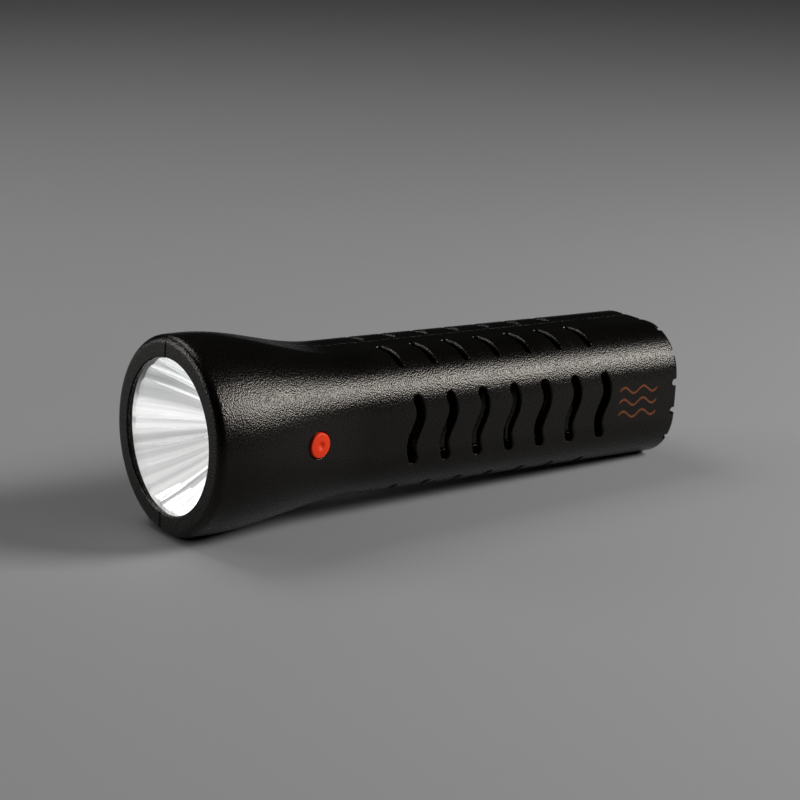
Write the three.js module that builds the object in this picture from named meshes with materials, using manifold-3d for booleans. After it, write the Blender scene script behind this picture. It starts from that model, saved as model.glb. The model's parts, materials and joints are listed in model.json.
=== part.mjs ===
import * as THREE from 'three';
import { mergeVertices } from 'three/addons/utils/BufferGeometryUtils.js';
import Module from 'manifold-3d';

// Emergency flashlight with a vented body, fed by a power cell that is drawn out of the tail.
// All sizes are in millimetres. Each piece is made in the flashlight's own frame: X runs along the
// optical axis from the bezel face to the tail, Z is up, and the push button is on the minus Y side.
// At the end the whole flashlight is tipped a little, so that it lies on its head and its tail edge.

const wasm = await Module();
wasm.setup();

// Driving dimensions of the outer form
const totalLength = 190;
const headRadius = 32;
const bodyHalfWidth = 25.4;
const bodyHalfHeight = 23.4;
const bodyCornerRadius = 17.4;
const bellStart = 8;
const bellEnd = 60;
const noseDrop = 0.2;
const bezelRound = 2.6;
const tailRound = 0.8;
const wall = 2.2;

// Clearances and cutting overruns
const clearance = 0.3;
const overrun = 1;

// Parting plane of the two housing shells, measured from the optical axis
const seamPlace = 2.4;
const seamGap = 0.3;

// Window, lens pocket and retaining rib at the front
const bezelWidth = 7.2;
const windowChamfer = 0.7;
const bezelLip = 1;
const pocketWall = 4.6;
const sealThickness = 0.6;
const sealWidth = 1.9;
const lensThickness = 1.5;
const flangeThickness = 1;
const retainingRib = 2;

// Fluted reflector
const mouthStep = 0.4;
const reflectorHubRadius = 5;
const bowlDepth = 22.46;
const reflectorWall = 1.1;
const fluteDepth = 0.5;
const fluteCount = 20;

// Light source and its heat sink
const pedestalRadius = 4.3;
const pedestalRise = 3.6;
const sinkBore = 2;
const sinkCoreRadius = 5.6;
const sinkFinRadius = 10.5;
const sinkFinThickness = 1.6;
const sinkFinPitch = 3.6;
const sinkFinCount = 3;
const emitterBoardThickness = 1;
const emitterSide = 3.4;
const emitterBase = 0.8;
const emitterDome = 1.3;

// Push button and the latching switch behind it
const buttonPlace = 38.6;
const buttonRadius = 4.1;
const buttonProud = 1;
const buttonDimple = 0.9;
const buttonDimpleDepth = 0.4;
const buttonSeatDepth = 1.5;
const buttonSeatRadius = 7;
const buttonFlangeRadius = 5.6;
const buttonFlange = 1.1;
const buttonStemRadius = 2;
const buttonStem = 0.5;
const buttonTravel = 1.5;
const switchSide = 8;
const switchHeight = 6.7;
const plungerSide = 3;
const plungerHeight = 4;

// Control board and what stands on it
const boardThickness = 1.6;
const boardLength = 30;
const boardGap = 5.1;
const boardHalfHeight = 12;
const boardCorner = 2;
const boardPostInset = 6;
const boardPostRise = 8.5;
const boardPostRadius = 2.6;
const boardScrewLength = 7;
const boardScrewRadius = 0.8;
const boardScrewHeadRadius = 1.8;
const boardScrewHead = 1.2;
const coilInset = 10;
const coilRise = -1;
const coilRadius = 5;
const coilHeight = 6;
const coilWaist = 1.2;
const coilRim = 1.2;
const canInset = 18;
const canRise = -7.6;
const canRadius = 3.2;
const canHeight = 9;
const chipInset = 11.5;
const chipRise = 7.5;
const chipLength = 6;
const chipHeight = 5;
const chipThickness = 1.4;

// Contact block between the electronics and the power cell
const blockStart = 67.1;
const blockThickness = 3.7;
const blockRib = 1.5;
const blockRibDepth = 1.6;
const contactInset = 9.5;
const contactWidth = 7;
const contactHalfHeight = 5.5;
const contactSheet = 0.5;
const contactPinRadius = 1;

// Wires
const wireRadius = 0.6;
const wireSpread = 1;
const feedWireInset = 3;

// Air slots: a row of wavy ones on each side, straight ones across the four corners
const slotCount = 7;
const slotStart = 77.7;
const slotPitch = 13.1;
const slotWidth = 3.1;
const slotSway = 1.55;
const slotHalfLength = 9.8;
const slotWave = 10.4;
const cornerSlotShift = -2.3;
const cornerSlotWidth = 2.4;
const cornerSlotInner = 4.5;
const cornerSlotOuter = 18.7;
const notchCount = 16;
const notchRadius = 1.2;

// Power cell drawer
const cellStart = 79;
const cellSideGap = 6.9;
const cellTopGap = 8.4;
const cellCorner = 5;
const cellWall = 2;
const cellWindowCount = 5;
const cellWindowBar = 3.5;
const cellWindowHalfHeight = 10;
const cathodeThickness = 1;
const anodeThickness = 6;
const anodeMargin = 1.5;
const terminalRadius = 4;
const terminalThickness = 0.8;
const railThickness = 1.4;
const railInset = 1.8;

// Tail cap, the handle of the drawer
const capRecess = 1.4;
const capFlange = 2.9;
const capDepth = 10;
const capCorner = 3;
const scoopInner = 3;
const scoopOuter = 15;
const scoopHalfHeight = 12;
const scoopDepth = 9;
const scoopCorner = 3;
const capScrewRise = 7.5;
const capScrewLength = 7;

// Screws that hold the two shells together, driven from the side away from the button
const bossRadius = 3.2;
const screwSeat = 8;
const screwRadius = 1.1;
const screwHeadRadius = 1.9;
const screwHead = 1.6;
const screwLength = 17;
const counterboreRadius = 2.4;
const headBossPlace = 24;
const headBossInset = 10;
const neckBossPlace = 60;
const tailBossInset = 10;
const bodyBossInset = 4.9;

// Facet counts
const cornerSteps = 8;
const roundSides = 36;
const bellSteps = 9;
const cavitySteps = 5;
const edgeSteps = 3;
const slotSteps = 6;
const tipSteps = 2;
const cornerSlotTipSteps = 2;
const boreSides = 10;
const pegSides = 8;
const wireSides = 6;
const wireSteps = 10;
const flutePoints = 3;
const bowlSteps = 4;

// Sizes and places that follow from the ones above
const windowRadius = headRadius - bezelWidth;
const pocketRadius = headRadius - pocketWall;
const reflectorMouthRadius = windowRadius - mouthStep;
const focalLength = reflectorMouthRadius ** 2 / (4 * bowlDepth);
const sealStart = bezelLip + clearance;
const lensStart = sealStart + sealThickness + clearance;
const flangeStart = lensStart + lensThickness + clearance;
const ribStart = flangeStart + flangeThickness + clearance;
const ribEnd = ribStart + retainingRib;
const ribBore = reflectorMouthRadius + fluteDepth + reflectorWall + clearance;
const screwHole = screwRadius + clearance;
const bowlVertex = flangeStart + bowlDepth;
const hubPlace = bowlVertex - reflectorHubRadius ** 2 / (4 * focalLength);
const sinkStart = hubPlace + clearance;
const buttonSeat = halfWidthAt(buttonPlace) - wall - buttonSeatDepth;
const buttonBack = buttonSeat - clearance - buttonFlange - buttonStem;
const switchTop = buttonBack - buttonTravel - clearance;
const boardFace = switchTop - switchHeight - clearance;
const boardBack = boardFace - boardThickness;
const blockEnd = blockStart + blockThickness;
const boardEnd = blockStart - boardGap;
const boardStart = boardEnd - boardLength;
const cellHalfWidth = bodyHalfWidth - cellSideGap;
const cellHalfHeight = bodyHalfHeight - cellTopGap;
const railRise = cellHalfHeight - railInset;
const contactSpread = cellHalfWidth - contactInset;
const capFace = totalLength - capRecess;
const capStart = capFace - capFlange - capDepth;
const cellEnd = capStart - clearance;
const railEnd = capFace - capFlange - clearance;

const finishes = {
  blackPlastic: { color: 0x1d1d1e, roughness: 0.6, metalness: 0 },
  orangePlastic: { color: 0xd8401c, roughness: 0.45, metalness: 0 },
  greyPlastic: { color: 0xb9bcbd, roughness: 0.55, metalness: 0 },
  clearPlastic: { color: 0xf2f6f8, roughness: 0.05, metalness: 0, transparent: true, opacity: 0.25 },
  rubber: { color: 0x161616, roughness: 0.9, metalness: 0 },
  chrome: { color: 0xdfe2e5, roughness: 0.06, metalness: 1 },
  aluminium: { color: 0xb4b7ba, roughness: 0.35, metalness: 1 },
  steel: { color: 0x8f9194, roughness: 0.35, metalness: 1 },
  brass: { color: 0xc2a04c, roughness: 0.3, metalness: 1 },
  greenBoard: { color: 0x1f5d33, roughness: 0.5, metalness: 0 },
  whiteBoard: { color: 0xe9ebea, roughness: 0.5, metalness: 0 },
  glow: { color: 0xfff6cf, roughness: 0.3, metalness: 0 },
  ferrite: { color: 0x2c2c2f, roughness: 0.7, metalness: 0 },
  magnesium: { color: 0xa3a6a4, roughness: 0.5, metalness: 1 },
  carbon: { color: 0x202124, roughness: 0.9, metalness: 0 },
  felt: { color: 0xd9d6cc, roughness: 0.95, metalness: 0 },
  redWire: { color: 0xa5231d, roughness: 0.5, metalness: 0 },
  blackWire: { color: 0x19191a, roughness: 0.5, metalness: 0 },
};

// Merged corners, no collapsed faces, and all faces pointing outwards
function closedMesh(geometry) {
  const bare = geometry.clone();
  const extras = Object.keys(bare.attributes).filter((name) => name !== 'position');
  extras.forEach((name) => bare.deleteAttribute(name));
  const merged = mergeVertices(bare);
  const place = (corner) => new THREE.Vector3().fromBufferAttribute(merged.attributes.position, corner);
  const corners = [];
  let volume = 0;
  for (let first = 0; first < merged.index.count; first += 3) {
    const face = [0, 1, 2].map((step) => merged.index.getX(first + step));
    if (new Set(face).size < 3) continue;
    corners.push(...face);
    volume += place(face[0]).dot(place(face[1]).cross(place(face[2])));
  }
  merged.setIndex(volume < 0 ? corners.reverse() : corners);
  return merged;
}

function solid(geometry) {
  const mesh = closedMesh(geometry);
  const vertProperties = new Float32Array(mesh.attributes.position.array);
  const triVerts = new Uint32Array(mesh.index.array);
  return new wasm.Manifold(new wasm.Mesh({ numProp: 3, vertProperties, triVerts }));
}

function meshOf(body) {
  const { vertProperties, triVerts } = body.getMesh();
  const geometry = new THREE.BufferGeometry();
  geometry.setAttribute('position', new THREE.BufferAttribute(new Float32Array(vertProperties), 3));
  geometry.setIndex(new THREE.BufferAttribute(new Uint32Array(triVerts), 1));
  return geometry;
}

const joined = (bodies) => bodies.reduce((whole, body) => whole.add(body));
const cut = (body, tools) => tools.reduce((rest, tool) => rest.subtract(tool), body);

function piece(name, form, finish) {
  const geometry = form instanceof wasm.Manifold ? meshOf(form) : closedMesh(form);
  const mesh = new THREE.Mesh(geometry, new THREE.MeshStandardMaterial(finishes[finish]));
  mesh.name = name;
  return mesh;
}

// Outer form: a round head that narrows in a bell to a body of rounded square section
function bellShare(x) {
  const along = THREE.MathUtils.clamp((x - bellStart) / (bellEnd - bellStart), 0, 1);
  return 1 - along * along * (3 - 2 * along);
}

function halfWidthAt(x) {
  return THREE.MathUtils.lerp(bodyHalfWidth, headRadius, bellShare(x));
}

// One ring of the outer form at x, drawn in by the inset: four corner arcs with flats between them
function sectionRing(x, inset) {
  const share = bellShare(x);
  const drop = inset + noseDrop * Math.max(0, 1 - x / bellStart) ** 2;
  const corner = THREE.MathUtils.lerp(bodyCornerRadius, headRadius, share) - drop;
  const flatWidth = halfWidthAt(x) - drop - corner;
  const flatHeight = THREE.MathUtils.lerp(bodyHalfHeight, headRadius, share) - drop - corner;
  const points = [];
  for (let side = 0; side < 4 * cornerSteps; side += 1) {
    const angle = ((side + 0.5) * Math.PI) / (2 * cornerSteps);
    const [along, up] = [Math.cos(angle), Math.sin(angle)];
    const y = Math.sign(along) * flatWidth + corner * along;
    points.push(new THREE.Vector3(x, y, Math.sign(up) * flatHeight + corner * up));
  }
  return points;
}

// Skin over rings with the same number of points, closed by a flat fan at each end
function skin(rings) {
  const sides = rings[0].length;
  const middles = [rings[0], rings[rings.length - 1]].map((ring) =>
    ring.reduce((sum, point) => sum.add(point), new THREE.Vector3()).divideScalar(sides));
  const points = [...rings.flat(), ...middles];
  const faces = [];
  for (let side = 0; side < sides; side += 1) {
    const next = (side + 1) % sides;
    for (let row = 0; row < rings.length - 1; row += 1) {
      const [near, far] = [row * sides, (row + 1) * sides];
      faces.push(near + side, near + next, far + side, far + side, near + next, far + next);
    }
    const last = (rings.length - 1) * sides;
    faces.push(points.length - 2, next, side, points.length - 1, last + side, last + next);
  }
  const geometry = new THREE.BufferGeometry().setFromPoints(points);
  geometry.setIndex(faces);
  return geometry;
}

// Stations are pairs of a place along the axis and an inset from the outer form
const formOf = (stations) => solid(skin(stations.map(([x, inset]) => sectionRing(x, inset))));

function bellStations(from, inset, steps) {
  const places = Array.from({ length: steps + 1 }, (_, step) =>
    THREE.MathUtils.lerp(bellStart, bellEnd, step / steps));
  return places.filter((x) => x > from).map((x) => [x, inset]);
}

function roundedEdge(radius) {
  return Array.from({ length: edgeSteps + 1 }, (_, step) => {
    const turn = (step / edgeSteps) * (Math.PI / 2);
    return [radius * (1 - Math.cos(turn)), radius * (1 - Math.sin(turn))];
  });
}

function outerForm(growth) {
  const nose = roundedEdge(bezelRound).map(([x, inset]) => [x, inset - growth]);
  const tail = roundedEdge(tailRound).map(([back, inset]) => [totalLength - back, inset - growth]);
  return formOf([...nose, ...bellStations(bezelRound, -growth, bellSteps), ...tail.reverse()]);
}

// Basic shapes along the axes of the flashlight
function rodAlongX(y, z, radius, from, to, sides = boreSides) {
  const rod = new THREE.CylinderGeometry(radius, radius, to - from, sides);
  return rod.rotateZ(-Math.PI / 2).translate((from + to) / 2, y, z);
}

function rodAlongY(x, z, radius, from, to, sides = boreSides) {
  const rod = new THREE.CylinderGeometry(radius, radius, to - from, sides);
  return rod.translate(x, (from + to) / 2, z);
}

function block([x0, x1], [y0, y1], [z0, z1]) {
  const box = new THREE.BoxGeometry(x1 - x0, y1 - y0, z1 - z0);
  return box.translate((x0 + x1) / 2, (y0 + y1) / 2, (z0 + z1) / 2);
}

// Turned about the optical axis; the profile is a list of places along the axis and radii
function turned(profile, sides = roundSides) {
  const points = profile.map(([x, radius]) => new THREE.Vector2(radius, x));
  return new THREE.LatheGeometry(points, sides).rotateZ(-Math.PI / 2);
}

const tube = (from, to, inner, outer) =>
  turned([[from, inner], [to, inner], [to, outer], [from, outer], [from, inner]]);

// Outline of a rounded rectangle about the origin
function roundedOutline(halfLength, halfHeight, corner) {
  const outline = new THREE.Shape();
  const [long, high] = [halfLength - corner, halfHeight - corner];
  outline.absarc(long, high, corner, 0, Math.PI / 2);
  outline.absarc(-long, high, corner, Math.PI / 2, Math.PI);
  outline.absarc(-long, -high, corner, Math.PI, 1.5 * Math.PI);
  outline.absarc(long, -high, corner, 1.5 * Math.PI, 2 * Math.PI);
  return outline;
}

const extruded = (outline, depth, curveSegments = tipSteps) =>
  new THREE.ExtrudeGeometry(outline, { depth, bevelEnabled: false, curveSegments });

// An outline of Y and Z drawn out along X
function barAlongX(outline, from, to) {
  return extruded(outline, to - from).rotateX(Math.PI / 2).rotateZ(Math.PI / 2).translate(from, 0, 0);
}

// An outline of X and Z drawn out along Y
function barAlongY(outline, from, to) {
  return extruded(outline, to - from).rotateX(Math.PI / 2).translate(0, to, 0);
}

// Air slots
function wavySlot(x) {
  const rows = Array.from({ length: slotSteps + 1 }, (_, step) =>
    THREE.MathUtils.lerp(-slotHalfLength, slotHalfLength, step / slotSteps));
  const centre = (z) => new THREE.Vector2(x + slotSway * Math.sin((Math.PI * z) / slotWave), z);
  const heading = (z) => Math.atan2(1, (slotSway * Math.PI) / slotWave * Math.cos((Math.PI * z) / slotWave));
  const offset = (z, turn) => {
    const direction = heading(z) + turn;
    const step = new THREE.Vector2(Math.cos(direction), Math.sin(direction));
    return centre(z).addScaledVector(step, slotWidth / 2);
  };
  const tip = (z, from) => Array.from({ length: tipSteps }, (_, step) =>
    offset(z, from + (Math.PI * (step + 1)) / (tipSteps + 1)));
  const [low, high] = [rows[0], rows[slotSteps]];
  const right = rows.map((z) => offset(z, -Math.PI / 2));
  const left = rows.map((z) => offset(z, Math.PI / 2)).reverse();
  return new THREE.Shape([...right, ...tip(high, -Math.PI / 2), ...left, ...tip(low, Math.PI / 2)]);
}

function wavySlotTools() {
  const reach = headRadius + overrun;
  const places = Array.from({ length: slotCount }, (_, slot) => slotStart + slot * slotPitch);
  return places.map((x) => solid(barAlongY(wavySlot(x), -reach, reach)));
}

function cornerSlotTools() {
  const halfLength = (cornerSlotOuter - cornerSlotInner) / 2;
  const middle = (cornerSlotOuter + cornerSlotInner) / 2;
  const top = headRadius + overrun;
  const outline = roundedOutline(cornerSlotWidth / 2, halfLength, cornerSlotWidth / 2);
  const tools = [];
  for (let slot = 0; slot < slotCount; slot += 1) {
    const x = slotStart + cornerSlotShift + slot * slotPitch;
    for (const side of [-1, 1]) {
      const bar = extruded(outline, 2 * top, cornerSlotTipSteps);
      tools.push(solid(bar.translate(x, side * middle, -top)));
    }
  }
  return tools;
}

function notchTools() {
  const reach = headRadius;
  return Array.from({ length: notchCount }, (_, notch) => {
    const rod = new THREE.CylinderGeometry(notchRadius, notchRadius, reach, pegSides);
    const angle = ((notch + 0.5) * 2 * Math.PI) / notchCount;
    return solid(rod.translate(0, reach / 2, 0).rotateX(angle).translate(totalLength, 0, 0));
  });
}

// Housing: one hollow form with its ribs, rails and bosses, parted along a plane beside the axis
function frontBore() {
  return turned([
    [-overrun, 0],
    [-overrun, windowRadius + windowChamfer],
    [0, windowRadius + windowChamfer],
    [windowChamfer, windowRadius],
    [bezelLip, windowRadius],
    [bezelLip, pocketRadius],
    [ribStart, pocketRadius],
    [ribStart, ribBore],
    [ribEnd, ribBore],
    [ribEnd, 0],
  ]);
}

function cavity() {
  const bell = bellStations(ribEnd, wall, cavitySteps);
  return formOf([[ribEnd, wall], ...bell, [totalLength + overrun, wall]]);
}

function blockRibs() {
  const back = blockEnd + clearance;
  const front = blockStart - clearance - blockRib;
  return [front, back].map((from) => {
    const to = from + blockRib;
    const outside = formOf([[from, wall / 2], [to, wall / 2]]);
    const inside = wall + blockRibDepth;
    return outside.subtract(formOf([[from - overrun, inside], [to + overrun, inside]]));
  });
}

// Rails that guide the power cell: a pair beside the seam above and below, one at each corner
function railTools() {
  const start = blockEnd + clearance + blockRib;
  const [width, height] = [cellHalfWidth + clearance, cellHalfHeight + clearance];
  const beside = seamGap + railThickness / 2;
  const rails = [];
  for (const up of [-1, 1]) {
    for (const y of [seamPlace - beside, seamPlace + beside]) {
      const across = [y - railThickness / 2, y + railThickness / 2];
      rails.push(block([start, railEnd], across, spanOut(up, height, bodyHalfHeight)));
    }
    for (const side of [-1, 1]) {
      const rise = [up * railRise - railThickness / 2, up * railRise + railThickness / 2];
      rails.push(block([start, railEnd], spanOut(side, width, bodyHalfWidth), rise));
    }
  }
  return rails.map(solid);
}

const spanOut = (side, inner, outer) => (side > 0 ? [inner, outer] : [-outer, -inner]);

function bossPlaces() {
  const places = [];
  for (const up of [-1, 1]) {
    places.push([headBossPlace, up * (headRadius - headBossInset)]);
    places.push([neckBossPlace, up * (bodyHalfHeight - bodyBossInset)]);
    places.push([totalLength - tailBossInset, up * (bodyHalfHeight - bodyBossInset)]);
  }
  return places;
}

function boardPosts() {
  return [-1, 1].map((up) => [boardEnd - boardPostInset, up * boardPostRise]);
}

function housing() {
  const reach = headRadius + overrun;
  const seatFloor = seamPlace + screwSeat;
  const outside = outerForm(0);
  const bosses = bossPlaces().map(([x, z]) => solid(rodAlongY(x, z, bossRadius, -reach, reach)));
  const posts = boardPosts().map(([x, z]) =>
    solid(rodAlongY(x, z, boardPostRadius, -reach, -boardFace - clearance)));
  const seat = solid(rodAlongY(buttonPlace, 0, buttonSeatRadius, -reach, -buttonSeat, 2 * boreSides));
  const inner = joined([...bosses, ...posts, seat, ...railTools()]);
  const hollow = cut(outside, [solid(frontBore()), cavity()]);
  const whole = joined([hollow, inner.intersect(outside), ...blockRibs()]);
  const holes = bossPlaces().flatMap(([x, z]) => [
    solid(rodAlongY(x, z, screwHole, seatFloor - screwLength - overrun, seatFloor + overrun, pegSides)),
    solid(rodAlongY(x, z, counterboreRadius, seatFloor, reach)),
  ]);
  const pilots = boardPosts().map(([x, z]) =>
    solid(rodAlongY(x, z, boardScrewRadius + clearance, -boardFace - boardScrewLength, 0, pegSides)));
  const bore = solid(rodAlongY(buttonPlace, 0, buttonRadius + clearance, -reach, 0, 2 * boreSides));
  const tools = [...holes, ...pilots, bore, ...wavySlotTools(), ...cornerSlotTools(), ...notchTools()];
  return cut(whole, [joined(tools)]);
}

function housingShells() {
  const reach = headRadius + 2 * overrun;
  const length = [-overrun, totalLength + overrun];
  const whole = housing();
  const half = (across) => whole.intersect(solid(block(length, across, [-reach, reach])));
  return {
    near: half([-reach, seamPlace - seamGap / 2]),
    far: half([seamPlace + seamGap / 2, reach]),
  };
}

// Lens, seal and reflector
const lensSeal = () => tube(sealStart, sealStart + sealThickness,
  pocketRadius - clearance - sealWidth, pocketRadius - clearance);

const lens = () => rodAlongX(0, 0, pocketRadius - clearance, lensStart, lensStart + lensThickness, roundSides);

// Bowl of a paraboloid whose inside is scalloped into flutes that run from the hub to the mouth
function reflector() {
  const angles = fluteCount * flutePoints;
  const radii = Array.from({ length: bowlSteps + 1 }, (_, step) =>
    THREE.MathUtils.lerp(reflectorMouthRadius, reflectorHubRadius, step / bowlSteps));
  const depthAt = (radius) => bowlVertex - radius ** 2 / (4 * focalLength);
  const back = flangeStart + flangeThickness;
  const flangeRadius = pocketRadius - clearance;
  const profile = (angle) => {
    const scallop = fluteDepth * Math.abs(Math.sin((fluteCount * angle) / 2));
    const inside = radii.map((radius) =>
      [depthAt(radius), radius + (scallop * radius) / reflectorMouthRadius]);
    const outside = radii.map((radius) => [depthAt(radius), radius + fluteDepth + reflectorWall]);
    outside[0][0] = back;
    return [...inside, ...outside.reverse(), [back, flangeRadius], [flangeStart, flangeRadius]];
  };
  const rings = Array.from({ length: angles }, (_, turn) => {
    const angle = (turn * 2 * Math.PI) / angles;
    return profile(angle).map(([x, radius]) =>
      new THREE.Vector3(x, radius * Math.cos(angle), radius * Math.sin(angle)));
  });
  return closedLoop(rings);
}

// Skin over rings that follow each other round in a full circle
function closedLoop(rings) {
  const sides = rings[0].length;
  const faces = [];
  rings.forEach((_, row) => {
    const [near, far] = [row * sides, ((row + 1) % rings.length) * sides];
    for (let side = 0; side < sides; side += 1) {
      const next = (side + 1) % sides;
      faces.push(near + side, near + next, far + side, far + side, near + next, far + next);
    }
  });
  const geometry = new THREE.BufferGeometry().setFromPoints(rings.flat());
  geometry.setIndex(faces);
  return geometry;
}

// Light source on the pedestal of a finned heat sink
function heatSink() {
  const profile = [[sinkStart - pedestalRise, sinkBore], [sinkStart - pedestalRise, pedestalRadius]];
  for (let fin = 0; fin < sinkFinCount; fin += 1) {
    const from = sinkStart + fin * sinkFinPitch;
    const core = fin === 0 ? pedestalRadius : sinkCoreRadius;
    profile.push([from, core], [from, sinkFinRadius]);
    profile.push([from + sinkFinThickness, sinkFinRadius], [from + sinkFinThickness, sinkCoreRadius]);
  }
  const end = sinkStart + (sinkFinCount - 1) * sinkFinPitch + sinkFinThickness;
  profile.push([end, sinkBore], profile[0]);
  return turned(profile, roundSides / 2);
}

const emitterBoardEnd = sinkStart - pedestalRise - clearance;

const emitterBoard = () =>
  rodAlongX(0, 0, pedestalRadius, emitterBoardEnd - emitterBoardThickness, emitterBoardEnd, 2 * boreSides);

function emitter() {
  const back = emitterBoardEnd - emitterBoardThickness - clearance;
  const half = emitterSide / 2;
  const front = back - emitterBase;
  const base = solid(block([front, back], [-half, half], [-half, half]));
  const ball = new THREE.SphereGeometry(emitterDome, boreSides, boreSides / 2).translate(front, 0, 0);
  const before = block([front - 2 * emitterDome, back - emitterBase / 2], [-half, half], [-half, half]);
  return base.add(solid(ball).intersect(solid(before)));
}

// Push button, which follows the bell's surface, and the latching switch
function button() {
  const column = solid(rodAlongY(buttonPlace, 0, buttonRadius, -headRadius, -buttonSeat, 2 * boreSides));
  const top = halfWidthAt(buttonPlace) + buttonProud;
  const dimple = new THREE.SphereGeometry(buttonDimple, boreSides, boreSides / 2);
  dimple.translate(buttonPlace, buttonDimpleDepth - buttonDimple - top, 0);
  const under = -buttonSeat + clearance;
  const flange = rodAlongY(buttonPlace, 0, buttonFlangeRadius, under, under + buttonFlange, 2 * boreSides);
  const neck = rodAlongY(buttonPlace, 0, buttonRadius, -buttonSeat - overrun, under, 2 * boreSides);
  const stem = rodAlongY(buttonPlace, 0, buttonStemRadius, under, -buttonBack);
  const cap = column.intersect(outerForm(buttonProud)).subtract(solid(dimple));
  return joined([cap, solid(neck), solid(flange), solid(stem)]);
}

function square(side) {
  return [[buttonPlace - side / 2, buttonPlace + side / 2], [-side / 2, side / 2]];
}

function switchPlunger() {
  const [along, up] = square(plungerSide);
  const top = -buttonBack + clearance;
  return block(along, [top, top + plungerHeight], up);
}

function switchBody() {
  const [along, up] = square(switchSide);
  const [wellAlong, wellUp] = square(plungerSide + 2 * clearance);
  const wellFloor = -buttonBack + clearance + plungerHeight + buttonTravel + clearance;
  const shell = solid(block(along, [-switchTop, -switchTop + switchHeight], up));
  return shell.subtract(solid(block(wellAlong, [-switchTop - overrun, wellFloor], wellUp)));
}

// Control board and its parts
function controlBoard() {
  const outline = roundedOutline((boardEnd - boardStart) / 2, boardHalfHeight, boardCorner);
  const sheet = barAlongY(outline, -boardFace, -boardBack).translate((boardStart + boardEnd) / 2, 0, 0);
  const holes = boardPosts().map(([x, z]) =>
    solid(rodAlongY(x, z, boardScrewRadius + clearance, -boardFace - overrun, -boardBack + overrun,
      pegSides)));
  return cut(solid(sheet), holes);
}

// Standing on the board, turned about an axis along Y; the profile is heights and radii
function standing(x, z, profile) {
  const points = profile.map(([height, radius]) => new THREE.Vector2(radius, height));
  return new THREE.LatheGeometry(points, 2 * pegSides).translate(x, -boardBack + clearance, z);
}

const storageCoil = () => standing(boardEnd - coilInset, coilRise, [
  [0, 0],
  [0, coilRadius],
  [coilRim, coilRadius],
  [coilRim, coilRadius - coilWaist],
  [coilHeight - coilRim, coilRadius - coilWaist],
  [coilHeight - coilRim, coilRadius],
  [coilHeight, coilRadius],
  [coilHeight, 0],
]);

const smoothingCan = () => standing(boardEnd - canInset, canRise, [
  [0, 0],
  [0, canRadius],
  [canHeight, canRadius],
  [canHeight, 0],
]);

function driverChip() {
  const back = -boardBack + clearance;
  const chipPlace = boardEnd - chipInset;
  const along = [chipPlace - chipLength / 2, chipPlace + chipLength / 2];
  return block(along, [back, back + chipThickness], [chipRise - chipHeight / 2, chipRise + chipHeight / 2]);
}

// A pan head screw along Y, its head beyond the origin and its shank before it
function screw(length, radius, headRadius, head) {
  const points = [
    [-length, 0],
    [-length + radius, radius],
    [0, radius],
    [0, headRadius],
    [head / 2, headRadius],
    [head, headRadius - head / 2],
    [head, 0],
  ];
  const profile = points.map(([height, reach]) => new THREE.Vector2(reach, height));
  return new THREE.LatheGeometry(profile, pegSides);
}

function housingScrews() {
  const seat = seamPlace + screwSeat + clearance;
  return bossPlaces().map(([x, z], index) => piece(`housing_screw_${index + 1}`,
    screw(screwLength, screwRadius, screwHeadRadius, screwHead).translate(x, seat, z), 'steel'));
}

function boardScrews() {
  const seat = -boardBack + clearance;
  return boardPosts().map(([x, z], index) => piece(`board_screw_${index + 1}`,
    screw(boardScrewLength, boardScrewRadius, boardScrewHeadRadius, boardScrewHead).translate(x, seat, z),
    'steel'));
}

function capScrews() {
  const seat = cellEnd - cellWall - clearance;
  return [-1, 1].map((up, index) => piece(`cap_screw_${index + 1}`,
    screw(capScrewLength, screwRadius, screwHeadRadius, screwHead)
      .rotateZ(Math.PI / 2).translate(seat, 0, up * capScrewRise), 'steel'));
}

const capScrewHoles = () => [-1, 1].map((up) =>
  solid(rodAlongX(0, up * capScrewRise, screwHole, cellEnd - cellWall - overrun,
    cellEnd - cellWall + capScrewLength, pegSides)));

// Contact block with two bent contact leaves
function contactBlock() {
  const plate = formOf([[blockStart, wall + clearance], [blockEnd, wall + clearance]]);
  const pins = [-1, 1].map((side) => solid(rodAlongX(side * contactSpread, 0,
    contactPinRadius + clearance, blockStart - overrun, blockEnd + overrun)));
  return cut(plate, pins);
}

function contactLeaf(side) {
  const foot = blockEnd + clearance;
  const tip = cellStart - terminalThickness - 2 * clearance;
  const bend = [
    [foot, -contactHalfHeight],
    [foot, contactHalfHeight],
    [foot + contactSheet, contactHalfHeight],
    [foot + contactSheet, -contactHalfHeight + contactSheet],
    [tip - contactSheet, 0],
    [tip - contactSheet, contactHalfHeight / 2],
    [tip, contactHalfHeight / 2],
    [tip, 0],
    [foot + contactSheet, -contactHalfHeight],
  ];
  const outline = new THREE.Shape(bend.map(([x, z]) => new THREE.Vector2(x, z)));
  const middle = side * contactSpread;
  return barAlongY(outline, middle - contactWidth / 2, middle + contactWidth / 2);
}

// Wires along the points of their route
function wire(points) {
  const route = new THREE.CatmullRomCurve3(points.map((point) => new THREE.Vector3(...point)));
  const outline = new THREE.Shape(Array.from({ length: wireSides }, (_, side) => {
    const angle = (side * 2 * Math.PI) / wireSides;
    return new THREE.Vector2(wireRadius * Math.cos(angle), wireRadius * Math.sin(angle));
  }));
  return new THREE.ExtrudeGeometry(outline, { steps: wireSteps, extrudePath: route });
}

function emitterWire(up) {
  const rise = up * wireSpread;
  const sinkEnd = sinkStart + sinkFinCount * sinkFinPitch;
  return wire([
    [emitterBoardEnd + clearance, 0, rise],
    [(emitterBoardEnd + sinkEnd) / 2, 0, rise],
    [sinkEnd, 0, rise],
    [sinkEnd + coilRadius, -boardBack / 2, 2 * rise],
    [sinkEnd + coilRadius, -boardBack + clearance, 2 * rise],
  ]);
}

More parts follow.
